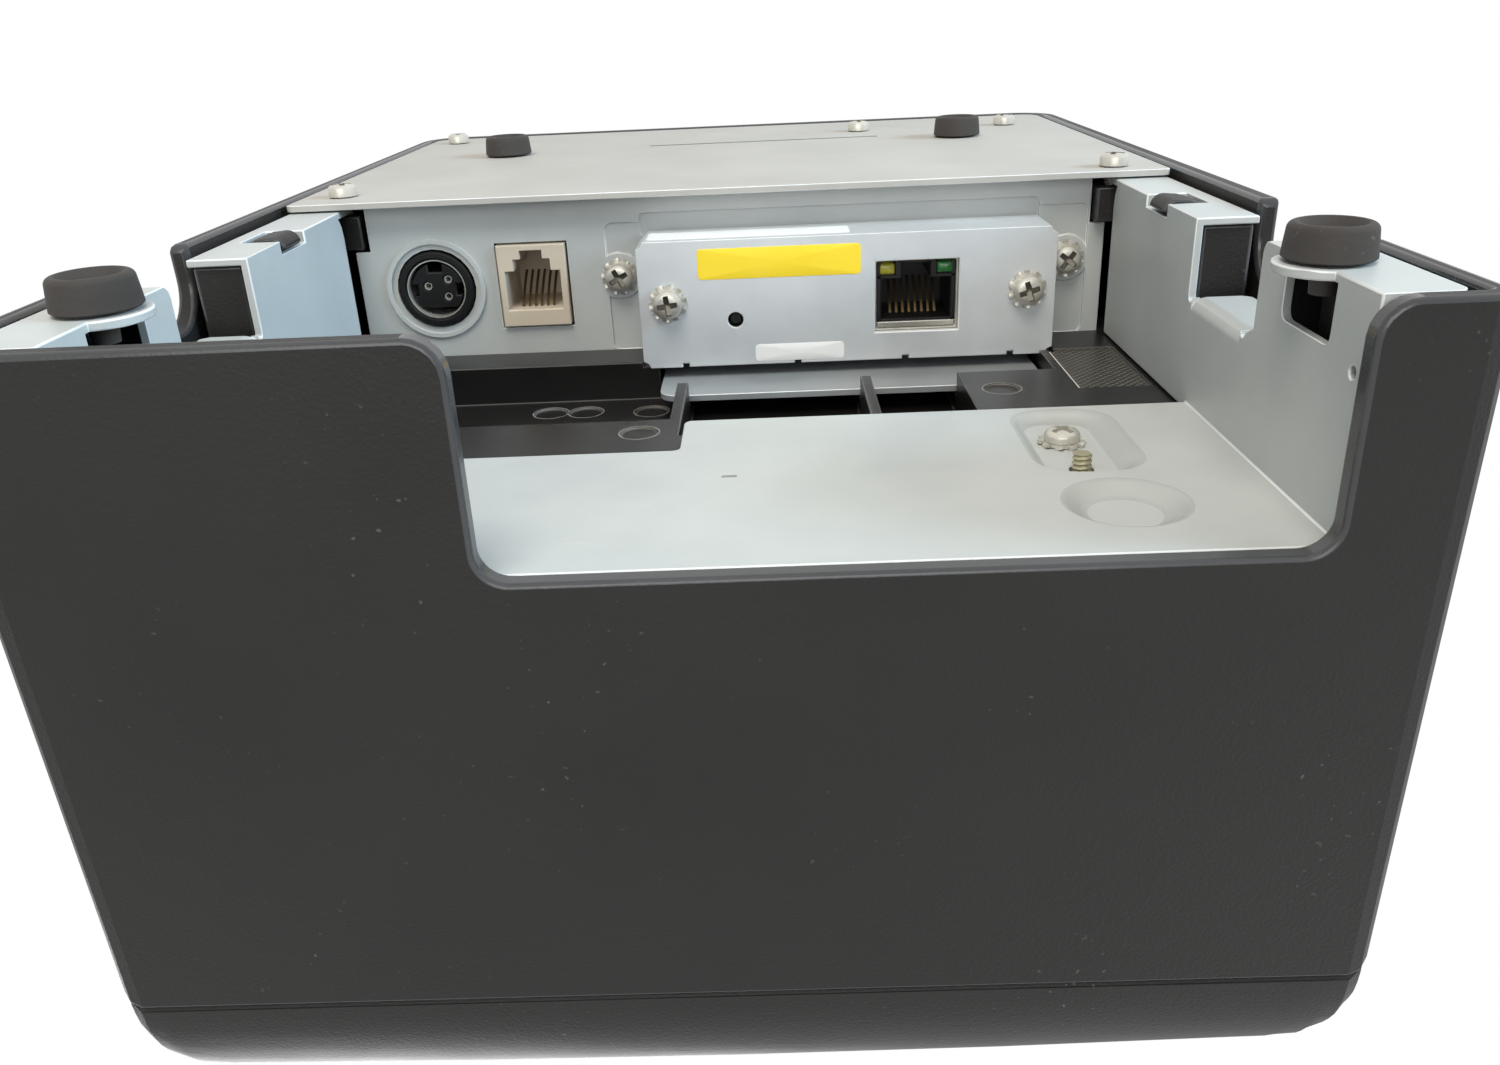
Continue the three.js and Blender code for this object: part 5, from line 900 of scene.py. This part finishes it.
def block(low, high, round_off=0.12):
    """Box with eased edges as six stations of a rounded outline along y, closed at both ends."""
    (x0, y0, z0), (x1, y1, z1) = low, high
    w, h = x1 - x0, z1 - z0
    inner_w, inner_h, point = w - 2 * round_off, h - 2 * round_off, 1e-4
    rings = []
    for a, b, y in ((point, point, y0), (inner_w, inner_h, y0), (w, h, y0 + round_off),
                    (w, h, y1 - round_off), (inner_w, inner_h, y1), (point, point, y1)):
        outline = label_outline(a, b, min(round_off, a / 2))
        rings.append(np.stack([outline[:, 0], np.full(4 * corner_points, y), outline[:, 1]], axis=1))
    return knit(np.stack(rings) + [(x0 + x1) / 2, 0, (z0 + z1) / 2])


x0, x1 = lan_low[0] + 0.92, lan_high[0] - 0.92
z0, z1 = lan_low[2] + 0.97, lan_high[2] - 0.97
deep_y, insert_y = mouth_y - 12, mouth_y - 0.35
core_parts = [
    block((x0, lan_low[1] + 0.4, z0), (x1, mouth_y - 11.8, z1)),
    block((x0, deep_y, z0), (x0 + 0.75, insert_y, z1)),
    block((x1 - 0.75, deep_y, z0), (x1, insert_y, z1)),
    block((x0, deep_y, z1 - 1.35), (x1, insert_y, z1)),
    block((x0 + 2.9, deep_y, z0), (x0 + 3.9, insert_y, z0 + 2.3)),
    block((x1 - 3.9, deep_y, z0), (x1 - 2.9, insert_y, z0 + 2.3)),
    block((x0, deep_y, z0 + 2.15), (x0 + 3.9, insert_y, z0 + 2.75)),
    block((x1 - 3.9, deep_y, z0 + 2.15), (x1, insert_y, z0 + 2.75)),
    block((x0 + 3.9, deep_y, z0), (x1 - 3.9, insert_y - 0.2, z0 + 0.45)),
]
built("lan_insert", [(part, 0) for part in core_parts], [satin_black], "housing", 30)
contact_wires("lan_wires", 8, lan_middle[0], (mouth_y - 4.6, z1 - 1.4), (mouth_y - 9.0, z0 + 4.2))
lip = block((x0 + 0.1, mouth_y - 1.2, z1 - 0.95), (x1 - 0.1, mouth_y - 0.12, z1 - 0.05))
built("lan_lip", [(lip, 0)], [tin], "housing", 30)


def lamp_window(name, tone, glow):
    material, tree = painted(name)
    depth = spread(tree, noise(tree, inside_object(tree), 700, 2), 0.35, 0.65)
    skin = finish_with(tree, shades(tree, depth, tone, glow), spread(tree, depth, 0, 1, 0.12, 0.2), depth,
                       0.000004)
    skin.inputs["Transmission Weight"].default_value = 0.25
    return material


yellow_window = lamp_window("yellow_window", (150, 142, 40), (196, 186, 66))
green_window = lamp_window("green_window", (44, 120, 58), (78, 160, 84))
for side, first, last, window in (("left", x0 + 0.35, x0 + 2.85, yellow_window),
                                  ("right", x1 - 2.85, x1 - 0.35, green_window)):
    lens = block((first, mouth_y - 4, z0 + 0.35), (last, insert_y + 0.15, z0 + 2.1), 0.35)
    built("lan_lamp_" + side, [(lens, 0)], [window], "housing", 50)


# Cash drawer socket: a moulded block of cream nylon with a stepped mouth for a modular plug, and six
# gilded spring wires in it. It is soldered to the board behind the panel.
cream = moulding("cream_nylon", (190, 178, 160), (202, 190, 172), (225, 215, 200), 0.45, 0.00001, 1500.0, 0.2)
softened("drawer_block", "drawer_jack", cream, 0.2 * MM)
jack_low, jack_high = in_mm(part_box("drawer_jack"))
contact_wires("drawer_wires", 6, (jack_low + jack_high)[0] / 2, (jack_high[1] - 2.4, jack_high[2] - 2.9),
              (jack_high[1] - 8.6, jack_high[2] - 7.6))


# Power socket: a moulded black barrel with a flange, a plated shell ring just inside it, and a keyed
# insert with three spring contacts. It stands on the board and looks out through the panel.
softened("power_barrel", "power_socket", satin_black, 0.25 * MM)
socket_mouth = [socket_x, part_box("power_socket")[1][1] / MM, socket_z]
shell = turned([(4.55, -8.0), (4.55, -0.35), (4.62, -0.22), (4.78, -0.22), (4.85, -0.35), (4.85, -8.0)], 72)
contact = turned([(0.42, -6.0), (0.42, -1.1), (0.5, -1.0), (0.62, -1.0), (0.7, -1.1), (0.7, -6.0)], 24)
metal = [shell] + [contact + [x, -z, 0] for x, z in ((-1.5, -0.4), (1.9, -1.4), (1.6, 1.4))]
built("socket_metal", [(knit(ring @ facing_rear.T + socket_mouth, loop_rows=True), 0) for ring in metal],
      [tin], "housing", 40)


# Chassis: one glossy black moulding over the cavity, screwed to the case, which carries the mechanism. It has
# pockets, ejector-pin marks ringed with painted pale highlights, and one patch of fine net pattern in a
# shallow recess, its base painted lighter as a sheen and its rim painted pale as a highlight. Its rounded
# edges are painted lighter, a painted highlight.
def coordinates(tree):
    parts = tree.nodes.new("ShaderNodeSeparateXYZ")
    wire(tree, (inside_object(tree), parts.inputs[0]))
    return parts.outputs


net, given, out = group("net_pattern", [("Pitch", 0.0009)], ["Line"])
place = coordinates(net)
strands = []
for second in (place["Y"], sums(net, "MULTIPLY", place["Y"], -1.0)):
    across = sums(net, "DIVIDE", sums(net, "ADD", place["X"], second), given.outputs["Pitch"])
    strands.append(sums(net, "ABSOLUTE", sums(net, "SUBTRACT", sums(net, "FRACT", across, 0.0), 0.5), 0.0))
wire(net, (spread(net, sums(net, "MAXIMUM", *strands), 0.30, 0.38), out.inputs["Line"]))


def within(tree, value, low, high):
    above = sums(tree, "GREATER_THAN", value, low)
    return sums(tree, "MULTIPLY", above, sums(tree, "LESS_THAN", value, high))


def rectangle(tree, place, x_range, y_range):
    return sums(tree, "MULTIPLY", within(tree, place["X"], *x_range), within(tree, place["Y"], *y_range))


chassis_black, tree = painted("chassis_black")
grain = use(tree, spark, Pit_Scale=1500.0, Dust=0.35)
place = coordinates(tree)
# The patch's base (92, 89, 82) is lighter than the black: a painted sheen. Its pale rim (196, 192, 184) is a
# painted highlight.
patch = rectangle(tree, place, (0.0503, 0.0600), (0.0159, 0.0363))
outline = rectangle(tree, place, (0.0499, 0.0600), (0.0159, 0.0368))
patch_rim_highlight = sums(tree, "SUBTRACT", outline, patch)
line = sums(tree, "MULTIPLY", use(tree, net, Pitch=0.0013)["Line"], patch)
flat = tree.nodes.new("ShaderNodeCombineXYZ")
wire(tree, (place["X"], flat.inputs["X"]), (place["Y"], flat.inputs["Y"]))
# Pale rings round the ejector-pin marks: painted highlights on their edges.
rings, inwards, outwards = 0.0, 0.2, 0.25
for ring_x, ring_y, ring_r in ((-28.9, 19.9, 2.65), (-23.3, 20.1, 2.65), (-12.8, 20.8, 2.65),
                               (-11.7, 49.1, 2.55), (39.2, 35.7, 2.6)):
    apart = tree.nodes.new("ShaderNodeVectorMath")
    apart.operation = "DISTANCE"
    apart.inputs[1].default_value = (ring_x * MM, ring_y * MM, 0)
    wire(tree, (flat.outputs[0], apart.inputs[0]))
    ring = within(tree, apart.outputs["Value"], (ring_r - inwards) * MM, (ring_r + outwards) * MM)
    rings = sums(tree, "MAXIMUM", ring, rings)
smooth = shades(tree, grain["Tone"], (13, 12, 11), (20, 18, 17))
plain = shades(tree, rings, smooth, (128, 125, 118))
netted = shades(tree, line, shades(tree, patch, plain, (92, 89, 82)), (10, 9, 9))
colour = shades(tree, patch_rim_highlight, netted, (196, 192, 184))
height = sums(tree, "ADD", sums(tree, "MULTIPLY", grain["Height"], 0.15), sums(tree, "MULTIPLY", line, -1.0))
roughness = spread(tree, grain["Tone"], 0, 1, 0.3, 0.4)
finish_with(tree, colour, roughness, height, 0.00009)
# Edge colour of the chassis: lighter than its black, a painted highlight along the rounded edges.
black_edge_highlight = moulding("black_edge_highlight", (46, 45, 43), (60, 58, 55), (130, 126, 120), 0.26, 0.00001, 1500.0, 0.2)
softened("chassis_moulding", "chassis", chassis_black, 0.22 * MM, edge_material=black_edge_highlight)
softened("reset_pin", "reset_button", satin_black, 0.15 * MM)


def finished(names, material, width, segments=2, edge_material=None):
    for name in names:
        softened(name + "_finished", name, material, width * MM, segments,
                 edge_material=edge_material)


smoked = moulding("smoked_acrylic", (58, 60, 64), (70, 72, 76), (110, 110, 112), 0.12, 0.000002, 900.0, 0.1)
gloss_black = moulding("gloss_black", (12, 12, 12), (18, 18, 17), (90, 88, 84), 0.16, 0.000004, 1500.0, 0.15)
button_black = moulding("button_black", (22, 22, 22), (28, 28, 27), (110, 108, 104), 0.42, 0.00003, 2200.0,
                        0.3)
finished(["indicator_lens"], smoked, 0.2, 3)
finished(["feed_button"], button_black, 0.45, 4)
finished(["power_switch"], satin_black, 0.3, 3)
finished(["power_rocker"], gloss_black, 0.35, 3)


# Roll bay: the bucket for the paper roll is one satin black moulding, let into the case. A white nylon
# feeler on a pin swings in a slot of its left side and feels for the end of the roll.
bay_black = moulding("bay_black", (20, 19, 19), (29, 28, 27), (120, 116, 110), 0.44, 0.00005, 1500.0, 0.6)
white_nylon = moulding("white_nylon", (214, 210, 198), (226, 222, 212), (236, 232, 226), 0.42, 0.00001,
                       1500.0, 0.2)
finished(["roll_bucket"], bay_black, 0.3, 3)
finished(["near_end_lever"], white_nylon, 0.2)


# Roll cover inside: a ribbed black liner with the paper guide, a ground steel blade fixed along its edge
# and two hinge pins of steel wire.
blade_steel = sheet_metal("blade_steel", (150, 152, 155), (178, 180, 183), (214, 214, 214), 0.24, 0.95,
                          0.000008, 0.5)
plain_steel = sheet_metal("plain_steel", (150, 152, 154), (174, 176, 178), (206, 206, 206), 0.32, 0.9)
finished(["cover_liner"], bay_black, 0.3, 3)
finished(["fixed_blade"], blade_steel, 0.12, edge_material=cut_edge_highlight)
finished(["hinge_pin_left", "hinge_pin_right"], plain_steel, 0.3, 3)


# Platen: a ground rubber roller on a steel shaft, which turns in two white nylon bushes at the roll
# cover's free edge. A moulded nylon gear is pressed onto its left end.
roller_rubber = moulding("roller_rubber", (34, 34, 36), (42, 42, 44), (96, 96, 98), 0.7, 0.00002)
finished(["platen_roller"], roller_rubber, 0.4, 3)
finished(["platen_shaft"], plain_steel, 0.25, 3)
finished(["platen_bush_left", "platen_bush_right", "platen_gear"], white_nylon, 0.15)


# Print mechanism: a plated steel frame with the feed motor, its brass-coloured pinion, the nylon idler
# and the latch bar that holds the platen. The head in it is a cast aluminium sink with the ceramic print
# line, pressed by a spring leaf.
cast = sheet_metal("cast_aluminium", (176, 178, 180), (196, 198, 199), (216, 216, 216), 0.44, 0.85, 0.00004)
ceramic = moulding("head_ceramic", (206, 204, 198), (220, 218, 212), (232, 230, 226), 0.3, 0.000004, 900.0,
                   0.1)
finished(["mechanism_frame", "latch_bar"], plain_steel, 0.2, edge_material=cut_edge_highlight)
finished(["feed_motor"], satin_black, 0.3, 3)
finished(["motor_pinion"], yellow_zinc, 0.1)
finished(["idler_gear"], white_nylon, 0.12)
finished(["heat_sink"], cast, 0.2)
finished(["thermal_head"], ceramic, 0.12)
finished(["head_spring"], blade_steel, 0.1)


# Cutter: a ground steel blade that slides in a folded steel frame over the print head, driven by a small
# motor through a nylon gear.
finished(["cutter_frame"], plain_steel, 0.2, edge_material=cut_edge_highlight)
finished(["cutter_motor"], plain_steel, 0.3, 3)
finished(["moving_blade"], blade_steel, 0.1, edge_material=cut_edge_highlight)
finished(["cutter_gear"], white_nylon, 0.12)


# Circuit boards: glass-fibre laminate under green solder mask, with paler tracks and a sheen. One lies
# on the posts of the base plate, the other stands behind the front of the interface card.
tracks, given, out = group("board_tracks", [("Pitch", 900.0)], ["Track"])
cells = tracks.nodes.new("ShaderNodeTexVoronoi")
cells.distance = "MANHATTAN"
cells.feature = "F1"
wire(tracks, (inside_object(tracks), cells.inputs["Vector"]), (given.outputs["Pitch"], cells.inputs["Scale"]),
     (spread(tracks, cells.outputs["Distance"], 0.42, 0.5), out.inputs["Track"]))
solder_mask, tree = painted("solder_mask")
grain = use(tree, spark, Pit_Scale=900.0, Dust=0.2)
track = use(tree, tracks, Pitch=420.0)["Track"]
ground = shades(tree, grain["Tone"], (22, 62, 40), (28, 72, 48))
colour = shades(tree, track, ground, (46, 98, 66))
finish_with(tree, colour, spread(tree, grain["Tone"], 0, 1, 0.3, 0.38), track, 0.00002)
finished(["main_board", "interface_board"], solder_mask, 0.1)


# Size of the finished model, without the studio.
low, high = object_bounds()
